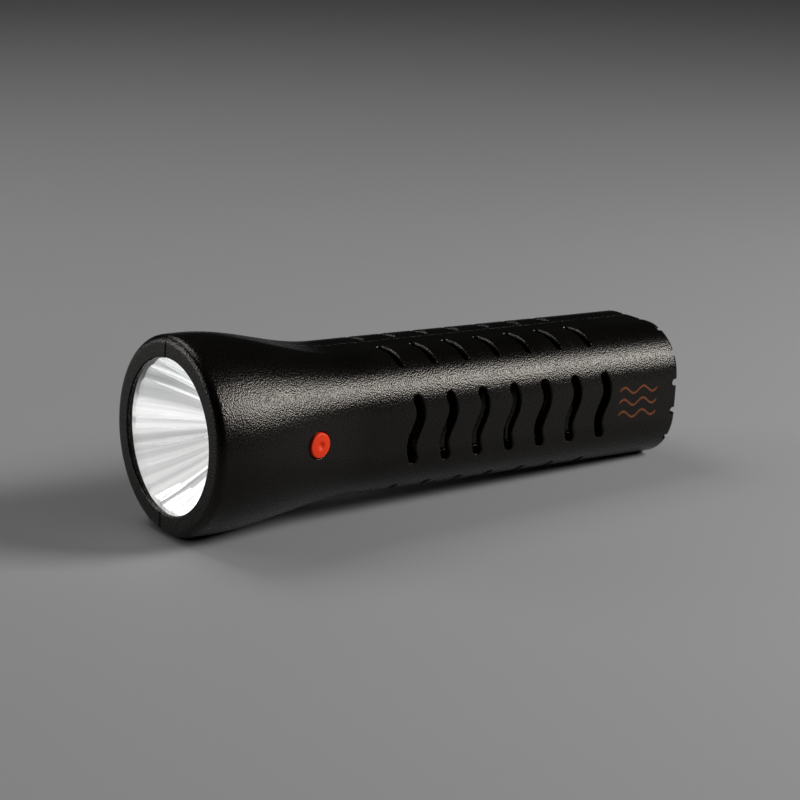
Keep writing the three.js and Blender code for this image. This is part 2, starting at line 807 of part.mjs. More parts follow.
function feedWire(side) {
  const across = side * contactSpread;
  const rise = -side * boardPostRise;
  const root = boardEnd - feedWireInset;
  return wire([
    [root, -boardBack + clearance, rise],
    [root, -boardBack / 2, rise],
    [boardEnd, across / 2, rise / 2],
    [blockStart - wireSpread, across, 0],
    [blockEnd, across, 0],
  ]);
}

// Power cell: a tray with windows for the air, two air electrodes, a metal plate and two wet pads
function cellTray() {
  const outer = barAlongX(roundedOutline(cellHalfWidth, cellHalfHeight, cellCorner), cellStart, cellEnd);
  const inner = roundedOutline(cellHalfWidth - cellWall, cellHalfHeight - cellWall, cellCorner - cellWall);
  const hollow = barAlongX(inner, cellStart + cellWall, cellEnd - cellWall);
  const length = cellEnd - cellStart - 2 * cellWall;
  const pitch = (length - cellWindowBar) / cellWindowCount;
  const windows = Array.from({ length: cellWindowCount }, (_, index) => {
    const from = cellStart + cellWall + cellWindowBar + index * pitch;
    const up = [-cellWindowHalfHeight, cellWindowHalfHeight];
    const across = [-cellHalfWidth - overrun, cellHalfWidth + overrun];
    return solid(block([from, from + pitch - cellWindowBar], across, up));
  });
  return cut(solid(outer), [solid(hollow), ...windows, ...capScrewHoles()]);
}

// A sheet inside the tray between two places across it
function traySheet(from, to, margin) {
  const up = cellHalfHeight - cellWall - margin;
  const along = [cellStart + cellWall + margin, cellEnd - cellWall - screwHead - 2 * clearance - margin];
  return block(along, from < to ? [from, to] : [to, from], [-up, up]);
}

function airElectrode(side) {
  const outer = cellHalfWidth - cellWall - clearance;
  return traySheet(side * (outer - cathodeThickness), side * outer, cellCorner - cellWall);
}

function wetPad(side) {
  const outer = cellHalfWidth - cellWall - cathodeThickness - 2 * clearance;
  return traySheet(side * (anodeThickness / 2 + clearance), side * outer, anodeMargin);
}

const metalPlate = () => traySheet(-anodeThickness / 2, anodeThickness / 2, clearance);

const terminal = (side) => rodAlongX(side * contactSpread, 0, terminalRadius,
  cellStart - clearance - terminalThickness, cellStart - clearance, 2 * boreSides);

// Tail cap: a flange that closes the tail, and a grip between two finger scoops
function tailCap() {
  const gap = wall + clearance;
  const flange = formOf([[capFace - capFlange, gap], [capFace, gap]]);
  const plug = solid(barAlongX(roundedOutline(cellHalfWidth, cellHalfHeight, capCorner),
    capStart, capFace - capFlange / 2));
  const outline = roundedOutline((scoopOuter - scoopInner) / 2, scoopHalfHeight, scoopCorner);
  const scoops = [-1, 1].map((side) => solid(barAlongX(outline, capFace - scoopDepth, capFace + overrun)
    .translate(0, side * (scoopOuter + scoopInner) / 2, 0)));
  return cut(flange.add(plug), [...scoops, ...capScrewHoles()]);
}

// Assembly
const shells = housingShells();
const tipped = new THREE.Group();
tipped.add(
  piece('housing_near', shells.near, 'blackPlastic'),
  piece('housing_far', shells.far, 'blackPlastic'),
  piece('lens_seal', lensSeal(), 'rubber'),
  piece('lens', lens(), 'clearPlastic'),
  piece('reflector', reflector(), 'chrome'),
  piece('heat_sink', heatSink(), 'aluminium'),
  piece('emitter_board', emitterBoard(), 'whiteBoard'),
  piece('light_emitter', emitter(), 'glow'),
  piece('button', button(), 'orangePlastic'),
  piece('switch_plunger', switchPlunger(), 'blackPlastic'),
  piece('switch_body', switchBody(), 'greyPlastic'),
  piece('control_board', controlBoard(), 'greenBoard'),
  piece('storage_coil', storageCoil(), 'ferrite'),
  piece('smoothing_can', smoothingCan(), 'aluminium'),
  piece('driver_chip', driverChip(), 'ferrite'),
  piece('contact_block', contactBlock(), 'greyPlastic'),
  piece('contact_leaf_near', contactLeaf(-1), 'brass'),
  piece('contact_leaf_far', contactLeaf(1), 'brass'),
  piece('emitter_wire_red', emitterWire(1), 'redWire'),
  piece('emitter_wire_black', emitterWire(-1), 'blackWire'),
  piece('feed_wire_red', feedWire(-1), 'redWire'),
  piece('feed_wire_black', feedWire(1), 'blackWire'),
  piece('cell_tray', cellTray(), 'blackPlastic'),
  piece('cell_plate', metalPlate(), 'magnesium'),
  piece('cell_pad_near', wetPad(-1), 'felt'),
  piece('cell_pad_far', wetPad(1), 'felt'),
  piece('air_electrode_near', airElectrode(-1), 'carbon'),
  piece('air_electrode_far', airElectrode(1), 'carbon'),
  piece('cell_terminal_near', terminal(-1), 'brass'),
  piece('cell_terminal_far', terminal(1), 'brass'),
  piece('tail_cap', tailCap(), 'blackPlastic'),
  ...housingScrews(),
  ...boardScrews(),
  ...capScrews(),
);

// Laid on its head and its tail edge, with the origin under the middle of the whole
tipped.rotation.y = Math.atan2(headRadius - bodyHalfHeight, totalLength - bellStart);
tipped.updateMatrixWorld(true);
const reach = new THREE.Box3().setFromObject(tipped, true);
const middle = reach.getCenter(new THREE.Vector3());
tipped.position.set(-middle.x, -middle.y, -reach.min.z);

const flashlight = new THREE.Group();
flashlight.name = 'flashlight';
flashlight.add(tipped);

export default flashlight;
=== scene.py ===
import json
import math

import bmesh
import bpy
from mathutils import Matrix, Vector


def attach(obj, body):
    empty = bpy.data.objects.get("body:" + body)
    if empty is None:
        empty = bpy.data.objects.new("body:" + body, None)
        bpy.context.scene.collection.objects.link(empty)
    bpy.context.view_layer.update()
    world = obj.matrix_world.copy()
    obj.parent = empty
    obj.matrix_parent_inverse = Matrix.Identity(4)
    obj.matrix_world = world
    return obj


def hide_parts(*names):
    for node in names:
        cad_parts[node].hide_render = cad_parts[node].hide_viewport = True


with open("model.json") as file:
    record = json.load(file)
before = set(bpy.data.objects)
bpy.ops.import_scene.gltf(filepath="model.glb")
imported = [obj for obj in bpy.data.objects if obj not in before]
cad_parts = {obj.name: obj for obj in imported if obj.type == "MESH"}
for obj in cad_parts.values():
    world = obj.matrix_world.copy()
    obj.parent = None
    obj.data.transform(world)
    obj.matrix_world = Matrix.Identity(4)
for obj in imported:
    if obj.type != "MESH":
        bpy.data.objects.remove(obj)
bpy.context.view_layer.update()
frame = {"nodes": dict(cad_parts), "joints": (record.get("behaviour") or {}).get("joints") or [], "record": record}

# How the flashlight lies. Its head is larger than its body, so it lies tipped on its head and on the
# edge of its tail. Every piece is made in the flashlight's own frame, with X along the optical axis
# from the bezel to the tail and Z up, and then laid down as one.
drawer_joint = next(joint for joint in frame["joints"] if joint["name"] == "power_cell_slide")
bezel_mount = next(mount for mount in frame["record"]["mounts"] if mount["name"] == "bezel_face")
tailward = Vector(drawer_joint["axis"]).normalized()
sideways = Vector((0, 1, 0))
upright = tailward.cross(sideways)
tipped = Matrix((tailward, sideways, upright)).transposed().to_4x4()
bezel_centre = Vector((bezel_mount["pos_m"][0], 0, bezel_mount["pos_m"][2]))
laid_down = Matrix.Translation(bezel_centre) @ tipped

# Black plastic of the two shells, the cell tray and the tail cap: injection moulded with an even
# spark-eroded grain that breaks up the highlights, and slightly rubbed in places.
GRAIN_SCALE = 1900
GRAIN_DEPTH = 0.00008


class Socket:
    """An output in a node tree that takes part in plain arithmetic."""

    def __init__(self, tree, output):
        self.tree = tree
        self.output = output

    def maths(self, operation, *others):
        values = dict(enumerate((self, *others)))
        return self.tree.node("ShaderNodeMath", values, operation=operation)["Value"]

    def __add__(self, other):
        return self.maths("ADD", other)

    def __sub__(self, other):
        return self.maths("SUBTRACT", other)

    def __rsub__(self, other):
        return self.tree.node("ShaderNodeMath", {0: other, 1: self}, operation="SUBTRACT")["Value"]

    def __mul__(self, other):
        return self.maths("MULTIPLY", other)

    def __truediv__(self, other):
        return self.maths("DIVIDE", other)

    def __pow__(self, other):
        return self.maths("POWER", other)

    __radd__ = __add__
    __rmul__ = __mul__

    def smooth_between(self, low, high):
        inputs = {"Value": self, "From Min": low, "From Max": high}
        return self.tree.node("ShaderNodeMapRange", inputs, interpolation_type="SMOOTHSTEP")["Result"]


class Tree:
    """Adds nodes to a node tree and links what they are given. Colours are given without an alpha."""

    def __init__(self, node_tree):
        self.node_tree = node_tree

    def node(self, kind, inputs=None, **settings):
        made = self.node_tree.nodes.new(kind)
        for name, value in settings.items():
            setattr(made, name, value)
        for key, value in (inputs or {}).items():
            if isinstance(key, int):
                entry = made.inputs[key]
            else:
                entry = next(item for item in made.inputs if item.name == key and item.enabled)
            self.feed(entry, value)
        return {item.name: Socket(self, item) for item in made.outputs if item.enabled}

    def feed(self, entry, value):
        if isinstance(value, Socket):
            self.node_tree.links.new(value.output, entry)
        elif entry.type == "RGBA":
            entry.default_value = (*value, 1)
        else:
            entry.default_value = value

    def noise(self, coordinates, scale, detail=2):
        inputs = {"Vector": coordinates, "Scale": scale, "Detail": detail}
        return self.node("ShaderNodeTexNoise", inputs)["Fac"]

    def mixed(self, share, first, second):
        inputs = {"Factor": share, "A": first, "B": second}
        return self.node("ShaderNodeMix", inputs, data_type="RGBA")["Result"]

    def bump(self, height, distance, strength=1):
        inputs = {"Height": height, "Distance": distance, "Strength": strength}
        return self.node("ShaderNodeBump", inputs)["Normal"]


def material(name, finish):
    """A material whose finish function returns the sockets of its surface shader."""
    made = bpy.data.materials.new(name)
    made.use_nodes = True
    tree = Tree(made.node_tree)
    surface = made.node_tree.nodes["Principled BSDF"]
    here = tree.node("ShaderNodeTexCoord")["Object"]
    for socket, value in finish(tree, here).items():
        tree.feed(surface.inputs[socket], value)
    return made


def own_place(tree, here):
    """Where a point is in the flashlight's own frame: along, across and up from the bezel's centre."""
    from_bezel = tree.node("ShaderNodeVectorMath", {0: here, 1: bezel_centre}, operation="SUBTRACT")
    dots = [{0: from_bezel["Vector"], 1: axis} for axis in (tailward, sideways, upright)]
    return [tree.node("ShaderNodeVectorMath", dot, operation="DOT_PRODUCT")["Value"] for dot in dots]


def black_plastic_finish(tree, here):
    cells = tree.node("ShaderNodeTexVoronoi", {"Vector": here, "Scale": GRAIN_SCALE}, feature="F1")
    grain = cells["Distance"]
    speckle = grain.smooth_between(0.35, 0.6)
    rubbed = tree.noise(here, 35, 3).smooth_between(0.35, 0.75)
    return {
        "Base Color": tree.mixed(rubbed, (0.0017, 0.0015, 0.0013), (0.0028, 0.0026, 0.0023)),
        "Roughness": 0.13 + 0.03 * rubbed + 0.15 * speckle,
        "Specular IOR Level": 0.25,
        "Specular Tint": (1.0, 0.92, 0.82),
        "Normal": tree.bump(grain, GRAIN_DEPTH),
    }


black_plastic = material("black_plastic", black_plastic_finish)

# Housing: two moulded shells, parted along a plane beside the optical axis. A round head flows in a
# bell into a rounded square body. Each shell is a lofted wall with its ribs, rails and screw bosses,
# vented by wavy slots on the side and straight slots across the corners, and notched round the tail.
LENGTH = 0.190
HEAD_RADIUS = 0.032
BODY_HALF_WIDTH = 0.0254
BODY_HALF_HEIGHT = 0.0234
BODY_CORNER = 0.0174
BELL_START = 0.008
BELL_END = 0.060
NOSE_DROP = 0.0002
BEZEL_ROUND = 0.0026
TAIL_ROUND = 0.0014
WALL = 0.0022
CAVITY_CHAMFER = 0.0003
SEAM_PLACE = 0.0024
SEAM_GAP = 0.00012
SEAM_ROUND = 0.00004
SEAM_FLAT = 0.001
SEAM_RELIEF = 0.0004
SEAM_RELIEF_DEPTH = 0.0007
WINDOW_RADIUS = 0.0248
WINDOW_ROUND = 0.0006
BEZEL_LIP = 0.001
POCKET_RADIUS = 0.0274
POCKET_END = 0.0053
RIB_BORE = 0.0263
RIB_END = 0.0073
BLOCK_RIBS = ((0.0653, 0.0668), (0.0711, 0.0726))
BLOCK_RIB_RISE = 0.0016
MOUTH_RISE = 0.00015
OUTSIDE = 0.045
SLOT_COUNT = 7
SLOT_START = 0.0777
SLOT_PITCH = 0.0131
SLOT_WIDTH = 0.0031
SLOT_SWAY = 0.00155
SLOT_HALF_LENGTH = 0.0098
SLOT_WAVE = 0.0104
SLOT_ROUND = 0.0007
SLOT_OVERCUT = 0.0015
CORNER_SLOT_SHIFT = -0.0023
CORNER_SLOT_WIDTH = 0.0024
CORNER_SLOT_INNER = 0.0045
CORNER_SLOT_OUTER = 0.0187
NOTCH_COUNT = 16
NOTCH_RADIUS = 0.0012
NOTCH_DEPTH = 0.0026
NOTCH_REACH = (0.012, 0.036)
BUTTON_PLACE = 0.0386
BUTTON_BORE = 0.0044
BUTTON_MOUTH = 0.00025
BUTTON_OVERCUT = 0.001
BUTTON_SEAT_RADIUS = 0.007
BUTTON_SEAT_DEPTH = 0.0037
BOSS_PLACES = ((0.024, 0.022), (0.060, 0.0185), (0.180, 0.0185))
BOSS_RADIUS = 0.0032
SCREW_SEAT = 0.0104
SCREW_HOLE = 0.0014
SCREW_MOUTH = 0.0003
SCREW_PILOT = (-0.005, 0.0076)
COUNTERBORE_RADIUS = 0.0024
POST_PLACE = (0.056, 0.0085)
POST_RADIUS = 0.0026
POST_END = 0.01355
RAIL_START = 0.0726
RAIL_END = 0.1854
RAIL_THICKNESS = 0.0014
RAIL_RISE = 0.0132
RAIL_OFF_SEAM = 0.00025
BAY_HALF_WIDTH = 0.0188
BAY_HALF_HEIGHT = 0.0153
PRINT_PLACE = 0.172
PRINT_HALF_LENGTH = 0.0085
PRINT_PITCH = 0.0042
PRINT_WIDTH = 0.0008
PRINT_WAVE = 0.0085
PRINT_SWAY = 0.0011
PRINT_EDGE = 0.0001
PRINT_FADE = (0.0012, 0.0014)
INK = (0.14, 0.040, 0.013)
NEAR, FAR = -1, 1
FOLLOWS = True


def blend(first, second, share):
    return first + (second - first) * share


def section_at(x, inset=0.0):
    """Half flats and corner radius of the outer form at a place along the axis, drawn in by the inset."""
    along = min(max((x - BELL_START) / (BELL_END - BELL_START), 0), 1)
    share = 1 - along * along * (3 - 2 * along)
    corner = blend(BODY_CORNER, HEAD_RADIUS, share)
    flat_y = blend(BODY_HALF_WIDTH, HEAD_RADIUS, share) - corner
    flat_z = blend(BODY_HALF_HEIGHT, HEAD_RADIUS, share) - corner
    drop = inset + NOSE_DROP * max(0, 1 - x / BELL_START) ** 2
    return flat_y, flat_z, corner - drop


def reach_over(place, flat, flat_out, corner):
    """How far out the rounded section reaches at a place across it."""
    over = max(abs(place) - flat, 0)
    return flat_out + math.sqrt(max(corner**2 - over**2, 0))


def side_reach(x, z):
    flat_y, flat_z, corner = section_at(x)
    return reach_over(z, flat_z, flat_y, corner)


def top_reach(x, y):
    flat_y, flat_z, corner = section_at(x)
    return reach_over(y, flat_y, flat_z, corner)


def quarter_turns(steps):
    return [math.radians(90) * step / steps for step in range(steps + 1)]


def rounded_end(radius, steps):
    """Pairs of a distance from the end and an inset that go round an edge."""
    return [(radius * (1 - math.cos(turn)), radius * (1 - math.sin(turn))) for turn in quarter_turns(steps)]


def steps_between(first, last, count):
    return [blend(first, last, step / count) for step in range(1, count + 1)]


def seam_start(side):
    """Where a shell begins beside the seam, outwards on its own side of the axis."""
    return side * SEAM_PLACE + SEAM_GAP / 2


def half_ring(x, section, side, edge=0.0, edge_steps=4, flat_steps=5, arc_steps=34):
    """Points of one shell's section from the seam at the top to the seam at the bottom."""
    flat_y, flat_z, corner = section
    start = seam_start(side)
    turn_in = max(flat_y, start + edge + SEAM_FLAT)
    upper = []
    for back, inset in rounded_end(edge, edge_steps):
        out = start + back
        upper.append((out, reach_over(out, flat_y, flat_z, corner) - inset))
    for out in steps_between(start + edge, turn_in, flat_steps):
        upper.append((out, reach_over(out, flat_y, flat_z, corner)))
    first_turn = math.acos(min((turn_in - flat_y) / corner, 1))
    for step in range(1, arc_steps + 1):
        turn = first_turn * (1 - step / arc_steps)
        upper.append((flat_y + corner * math.cos(turn), flat_z + corner * math.sin(turn)))
    lower = [(out, -rise) for out, rise in reversed(upper)]
    return [Vector((x, side * out, rise)) for out, rise in upper + lower]


def outer_rings(side):
    nose = rounded_end(BEZEL_ROUND, 9)
    bell = [(x, 0.0) for x in steps_between(BEZEL_ROUND, BELL_END, 44)]
    body = [(x, 0.0) for x in steps_between(BELL_END, LENGTH - TAIL_ROUND, 24)]
    tail = [(LENGTH - back, inset) for back, inset in reversed(rounded_end(TAIL_ROUND, 4))]
    stations = nose + bell + body[:-1] + tail
    return [half_ring(x, section_at(x, inset), side, SEAM_ROUND) for x, inset in stations]


def inner_rings(side):
    def bore(x, radius):
        return half_ring(x, (0.0, 0.0, radius), side)

    def cavity(x, extra=0.0):
        return half_ring(x, section_at(x, WALL + extra), side)

    window = [bore(x, WINDOW_RADIUS + inset) for x, inset in rounded_end(WINDOW_ROUND, 4)]
    pocket = [bore(BEZEL_LIP, WINDOW_RADIUS), bore(BEZEL_LIP, POCKET_RADIUS), bore(POCKET_END, POCKET_RADIUS)]
    rib = [bore(POCKET_END, RIB_BORE), bore(RIB_END, RIB_BORE)]
    bell = [cavity(x) for x in [RIB_END, *steps_between(RIB_END, BELL_END, 20)]]
    block_ribs = [
        cavity(x, extra)
        for start, end in BLOCK_RIBS
        for x, extra in ((start, 0), (start, BLOCK_RIB_RISE), (end, BLOCK_RIB_RISE), (end, 0))
    ]
    tail = [cavity(LENGTH - CAVITY_CHAMFER), cavity(LENGTH, -CAVITY_CHAMFER)]
    return window + pocket + rib + bell + block_ribs + tail


def skin(bm, rings, wrap=False):
    """Faces between rings that have the same number of points."""
    grid = [[bm.verts.new(point) for point in ring] for ring in rings]
    for near, far in zip(grid, grid[1:]):
        count = len(near)
        for index in range(count if wrap else count - 1):
            after = (index + 1) % count
            bm.faces.new((near[index], near[after], far[after], far[index]))
    return grid


def closed_mesh(bm, name):
    """Merges what coincides and turns all faces of a closed form outwards."""
    bmesh.ops.remove_doubles(bm, verts=bm.verts, dist=1e-7)
    bmesh.ops.dissolve_degenerate(bm, edges=bm.edges, dist=1e-7)
    bmesh.ops.recalc_face_normals(bm, faces=bm.faces)
    mesh = bpy.data.meshes.new(name)
    bm.to_mesh(mesh)
    bm.free()
    return mesh


def shell_wall(side):
    """The lofted wall of one shell, closed at the bezel, at the tail and along the parting plane."""
    bm = bmesh.new()
    outer = skin(bm, outer_rings(side))
    inner = skin(bm, inner_rings(side))
    for end in (0, -1):
        out, into = outer[end], inner[end]
        for index in range(len(out) - 1):
            bm.faces.new((out[index], out[index + 1], into[index + 1], into[index]))
    for index in (0, -1):
        bm.faces.new([ring[index] for ring in outer] + [ring[index] for ring in reversed(inner)])
    return closed_mesh(bm, "shell_wall")


def circle_outline(x, z, radius, count=40):
    turns = [math.tau * step / count for step in range(count)]
    return [Vector((x + radius * math.cos(turn), z + radius * math.sin(turn))) for turn in turns]


def box_outline(x, y):
    return [Vector((x[0], y[0])), Vector((x[1], y[0])), Vector((x[1], y[1])), Vector((x[0], y[1]))]


def grown(outline, distance):
    """An outline moved outwards along the normals of its corners."""
    moved = []
    for index, point in enumerate(outline):
        along = outline[(index + 1) % len(outline)] - outline[index - 1]
        moved.append(point + Vector((along.y, -along.x)).normalized() * distance)
    return moved


def columns_mesh(name, columns):
    """Closed columns over outlines, as one mesh. Each column is given as its outline, its levels, the
    surface that they may follow and what places its points. A level is a growth of the outline and a
    height, with a third entry where it follows the surface."""
    bm = bmesh.new()
    for outline, levels, reach, place in columns:
        rings = []
        for growth, height, *follows in levels:
            points = grown(outline, growth) if growth else outline
            rings.append([place(point, height + (reach(*point) if follows else 0)) for point in points])
        grid = skin(bm, rings, wrap=True)
        bm.faces.new(grid[0])
        bm.faces.new(grid[-1])
    return closed_mesh(bm, name)


def rounded_mouth(radius):
    """Levels of a cutter that rounds the edge where it leaves a surface."""
    turns = [math.radians(turn) for turn in (20, 43, 66, 90)]
    levels = [(radius * (1 - math.sin(turn)), -radius * (1 - math.cos(turn)), FOLLOWS) for turn in turns]
    growth, depth, _ = levels[0]
    wide = growth + (MOUTH_RISE - depth) / math.tan(turns[0])
    return [(wide, OUTSIDE), (wide, MOUTH_RISE, FOLLOWS), *levels]


def facing(side):
    """Places a point of X and Z on one side of the body."""
    return lambda point, out: Vector((point.x, side * out, point.y))


def facing_up(rise):
    """Places a point of X and Y above or below the body."""
    return lambda point, out: Vector((point.x, point.y, rise * out))


def facing_round(turn):
    """Places a point of X and a distance sideways at a turn round the axis."""
    radial = Matrix.Rotation(turn, 3, "X")
    return lambda point, out: radial @ Vector((point.x, out, point.y))


def wavy_outline(x, steps=30, tip_steps=9):
    def beside(z, turn):
        centre = Vector((x + SLOT_SWAY * math.sin(math.pi * z / SLOT_WAVE), z))
        lean = SLOT_SWAY * math.pi / SLOT_WAVE * math.cos(math.pi * z / SLOT_WAVE)
        heading = math.atan2(1, lean) + turn
        return centre + Vector((math.cos(heading), math.sin(heading))) * SLOT_WIDTH / 2

    def tip(z, turn):
        return [beside(z, turn + math.pi * step / (tip_steps + 1)) for step in range(1, tip_steps + 1)]

    heights = [blend(-SLOT_HALF_LENGTH, SLOT_HALF_LENGTH, step / steps) for step in range(steps + 1)]
    quarter = math.pi / 2
    right = [beside(z, -quarter) for z in heights]
    left = [beside(z, quarter) for z in reversed(heights)]
    return [*right, *tip(SLOT_HALF_LENGTH, -quarter), *left, *tip(-SLOT_HALF_LENGTH, quarter)]


def corner_outline(x, side, steps=14, tip_steps=8):
    radius = CORNER_SLOT_WIDTH / 2
    inner, outer = CORNER_SLOT_INNER + radius, CORNER_SLOT_OUTER - radius
    places = [blend(inner, outer, step / steps) for step in range(steps + 1)]
    turns = [math.pi * step / tip_steps for step in range(1, tip_steps)]
    points = [(radius, y) for y in places]
    points += [(radius * math.cos(turn), outer + radius * math.sin(turn)) for turn in turns]
    points += [(-radius, y) for y in reversed(places)]
    points += [(-radius * math.cos(turn), inner - radius * math.sin(turn)) for turn in turns]
    outline = [Vector((x + along, side * y)) for along, y in points]
    return outline if side > 0 else list(reversed(outline))


def slot_tools(side):
    """The first wavy slot and the first two corner slots, to be repeated along the body."""
    levels = rounded_mouth(SLOT_ROUND) + [(0, -WALL - SLOT_OVERCUT, FOLLOWS)]
    corner = corner_outline(SLOT_START + CORNER_SLOT_SHIFT, side)
    columns = [(wavy_outline(SLOT_START), levels, side_reach, facing(side))]
    columns += [(corner, levels, top_reach, facing_up(rise)) for rise in (1, -1)]
    return columns_mesh("slot_tools", columns)


def geometry_tree(name, entries):
    """A geometry tree with named inputs of named kinds that puts out one shape."""
    group = bpy.data.node_groups.new(name, "GeometryNodeTree")
    for entry, kind in entries.items():
        group.interface.new_socket(entry, in_out="INPUT", socket_type="NodeSocket" + kind)
    group.interface.new_socket("Shape", in_out="OUTPUT", socket_type="NodeSocketGeometry")
    tree = Tree(group)
    return tree, tree.node("NodeGroupInput")


def put_out(tree, shape, finish):
    """Ends a geometry tree with its shape, which gets a material."""
    coloured = tree.node("GeometryNodeSetMaterial", {"Geometry": shape, "Material": finish})
    tree.node("NodeGroupOutput", {0: coloured["Geometry"]})
    return tree.node_tree


def slot_rows():
    """A tree that repeats the slot tools along the body and cuts them out of the shell."""
    entries = {"Shell": "Geometry", "Tools": "Object", "Count": "Int", "Pitch": "Float"}
    tree, given = geometry_tree("slot_rows", entries | {"Material": "Material"})
    tool = tree.node("GeometryNodeObjectInfo", {"Object": given["Tools"]})["Geometry"]
    step = tree.node("ShaderNodeCombineXYZ", {"X": given["Pitch"]})["Vector"]
    line = tree.node("GeometryNodeMeshLine", {"Count": given["Count"], "Offset": step})["Mesh"]
    rows = tree.node("GeometryNodeInstanceOnPoints", {"Points": line, "Instance": tool})["Instances"]
    solid_rows = tree.node("GeometryNodeRealizeInstances", {"Geometry": rows})["Geometry"]
    settings = {"operation": "DIFFERENCE", "solver": "MANIFOLD"}
    cut = tree.node("GeometryNodeMeshBoolean", {"Mesh 1": given["Shell"], "Mesh 2": solid_rows}, **settings)
    return put_out(tree, cut["Mesh"], given["Material"])


def put_object(name, mesh):
    made = bpy.data.objects.new(name, mesh)
    bpy.context.scene.collection.objects.link(made)
    return made


def settled(thing):
    """Turns an object's modifiers into its plain mesh."""
    bpy.context.view_layer.update()
    shape = bpy.data.meshes.new_from_object(thing.evaluated_get(bpy.context.evaluated_depsgraph_get()))
    thing.modifiers.clear()
    old = thing.data
    thing.data = shape
    bpy.data.meshes.remove(old)
    return thing


def combined(thing, tool_mesh, operation):
    """Joins or cuts with another closed mesh."""
    tool = put_object("tool", tool_mesh)
    step = thing.modifiers.new(operation, "BOOLEAN")
    step.operation = operation
    step.solver = "MANIFOLD"
    step.object = tool
    settled(thing)
    bpy.data.objects.remove(tool)
    return thing


def add_inputs(thing, group, values):
    """Gives an object a geometry tree with named values for its inputs."""
    step = thing.modifiers.new(group.name, "NODES")
    step.node_group = group
    for entry in group.interface.items_tree:
        if entry.in_out == "INPUT" and entry.name in values:
            step[entry.identifier] = values[entry.name]
    return thing


def smoothed(thing, angle=28):
    """Smooth shading that keeps flat faces flat beside their rounded edges."""
    thing.data.shade_smooth()
    thing.data.set_sharp_from_angle(angle=math.radians(angle))
    step = thing.modifiers.new("even_normals", "WEIGHTED_NORMAL")
    step.keep_sharp = True
    return settled(thing)


def hand_over(thing, finish, slot, body, *nodes):
    """Lays a finished piece down with the flashlight and lets it ride in place of its CAD nodes."""
    thing.data.transform(laid_down)
    thing.data.update()
    thing.data.materials.clear()
    thing.data.materials.append(finish)
    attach(thing, body)
    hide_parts(*nodes)


def shell_inside(side):
    """Bosses for the screws, posts for the board and the thick ring behind the button."""
    seam = seam_start(side)
    bosses = [(circle_outline(x, z, BOSS_RADIUS), seam) for x, rise in BOSS_PLACES for z in (rise, -rise)]
    if side == NEAR:
        x, rise = POST_PLACE
        bosses += [(circle_outline(x, z, POST_RADIUS), POST_END) for z in (rise, -rise)]
        seat = side_reach(BUTTON_PLACE, 0) - BUTTON_SEAT_DEPTH
        bosses.append((circle_outline(BUTTON_PLACE, 0, BUTTON_SEAT_RADIUS), seat))
    sunk = (0, -WALL / 2, FOLLOWS)
    columns = [(outline, [(0, start), sunk], side_reach, facing(side)) for outline, start in bosses]
    return columns_mesh("shell_inside", columns)


def shell_rails(side):
    """Rails that guide the power cell, beside the seam and in the corners."""
    columns = []
    beside = [side * (seam_start(side) + RAIL_OFF_SEAM + width) for width in (0, RAIL_THICKNESS)]
    far_out = side_reach(RAIL_END, RAIL_RISE + RAIL_THICKNESS / 2) - WALL / 2
    for rise in (1, -1):
        outline = box_outline((RAIL_START, RAIL_END), (min(beside), max(beside)))
        levels = [(0, BAY_HALF_HEIGHT), (0, BODY_HALF_HEIGHT - WALL / 2)]
        columns.append((outline, levels, top_reach, facing_up(rise)))
        across = (rise * RAIL_RISE - RAIL_THICKNESS / 2, rise * RAIL_RISE + RAIL_THICKNESS / 2)
        outline = box_outline((RAIL_START, RAIL_END), across)
        levels = [(0, BAY_HALF_WIDTH), (0, far_out)]
        columns.append((outline, levels, side_reach, facing(side)))
    return columns_mesh("shell_rails", columns)


def notch_outline(steps=12):
    middle = LENGTH - NOTCH_DEPTH + NOTCH_RADIUS
    turns = [math.pi * (0.5 + step / steps) for step in range(steps + 1)]
    points = [(middle + NOTCH_RADIUS * math.cos(turn), NOTCH_RADIUS * math.sin(turn)) for turn in turns]
    beyond = LENGTH + NOTCH_RADIUS
    return [Vector(point) for point in [*points, (beyond, -NOTCH_RADIUS), (beyond, NOTCH_RADIUS)]]


def shell_holes(side):
    """Screw holes, the button's bore, the seam's relief on the bezel and the notches round the tail."""
    narrow = SCREW_HOLE - COUNTERBORE_RADIUS
    if side == FAR:
        levels = rounded_mouth(SCREW_MOUTH) + [(0, SCREW_SEAT)]
        levels += [(narrow, SCREW_SEAT), (narrow, 0.0)]
    else:
        levels = [(narrow, height) for height in SCREW_PILOT]
    outlines = [circle_outline(x, z, COUNTERBORE_RADIUS) for x, rise in BOSS_PLACES for z in (rise, -rise)]
    columns = [(outline, levels, side_reach, facing(side)) for outline in outlines]
    if side == NEAR:
        bottom = side_reach(BUTTON_PLACE, 0) - BUTTON_SEAT_DEPTH - BUTTON_OVERCUT
        levels = rounded_mouth(BUTTON_MOUTH) + [(0, bottom)]
        columns.append((circle_outline(BUTTON_PLACE, 0, BUTTON_BORE, 64), levels, side_reach, facing(side)))
    seam = seam_start(side)
    corners = ((1, seam - SEAM_RELIEF), (1, seam), (-1, seam + 2 * SEAM_RELIEF), (-1, seam - SEAM_RELIEF))
    outline = [Vector((end * SEAM_RELIEF_DEPTH, out)) for end, out in corners]
    levels = [(0, -HEAD_RADIUS), (0, HEAD_RADIUS)]
    columns.append((outline, levels, None, lambda point, rise: Vector((point.x, side * point.y, rise))))
    levels = [(0, out) for out in NOTCH_REACH]
    for notch in range(NOTCH_COUNT):
        turn = math.tau * (notch + 0.5) / NOTCH_COUNT
        if math.copysign(1, math.cos(turn)) == side:
            columns.append((notch_outline(), levels, None, facing_round(turn)))
    return columns_mesh("shell_holes", columns)


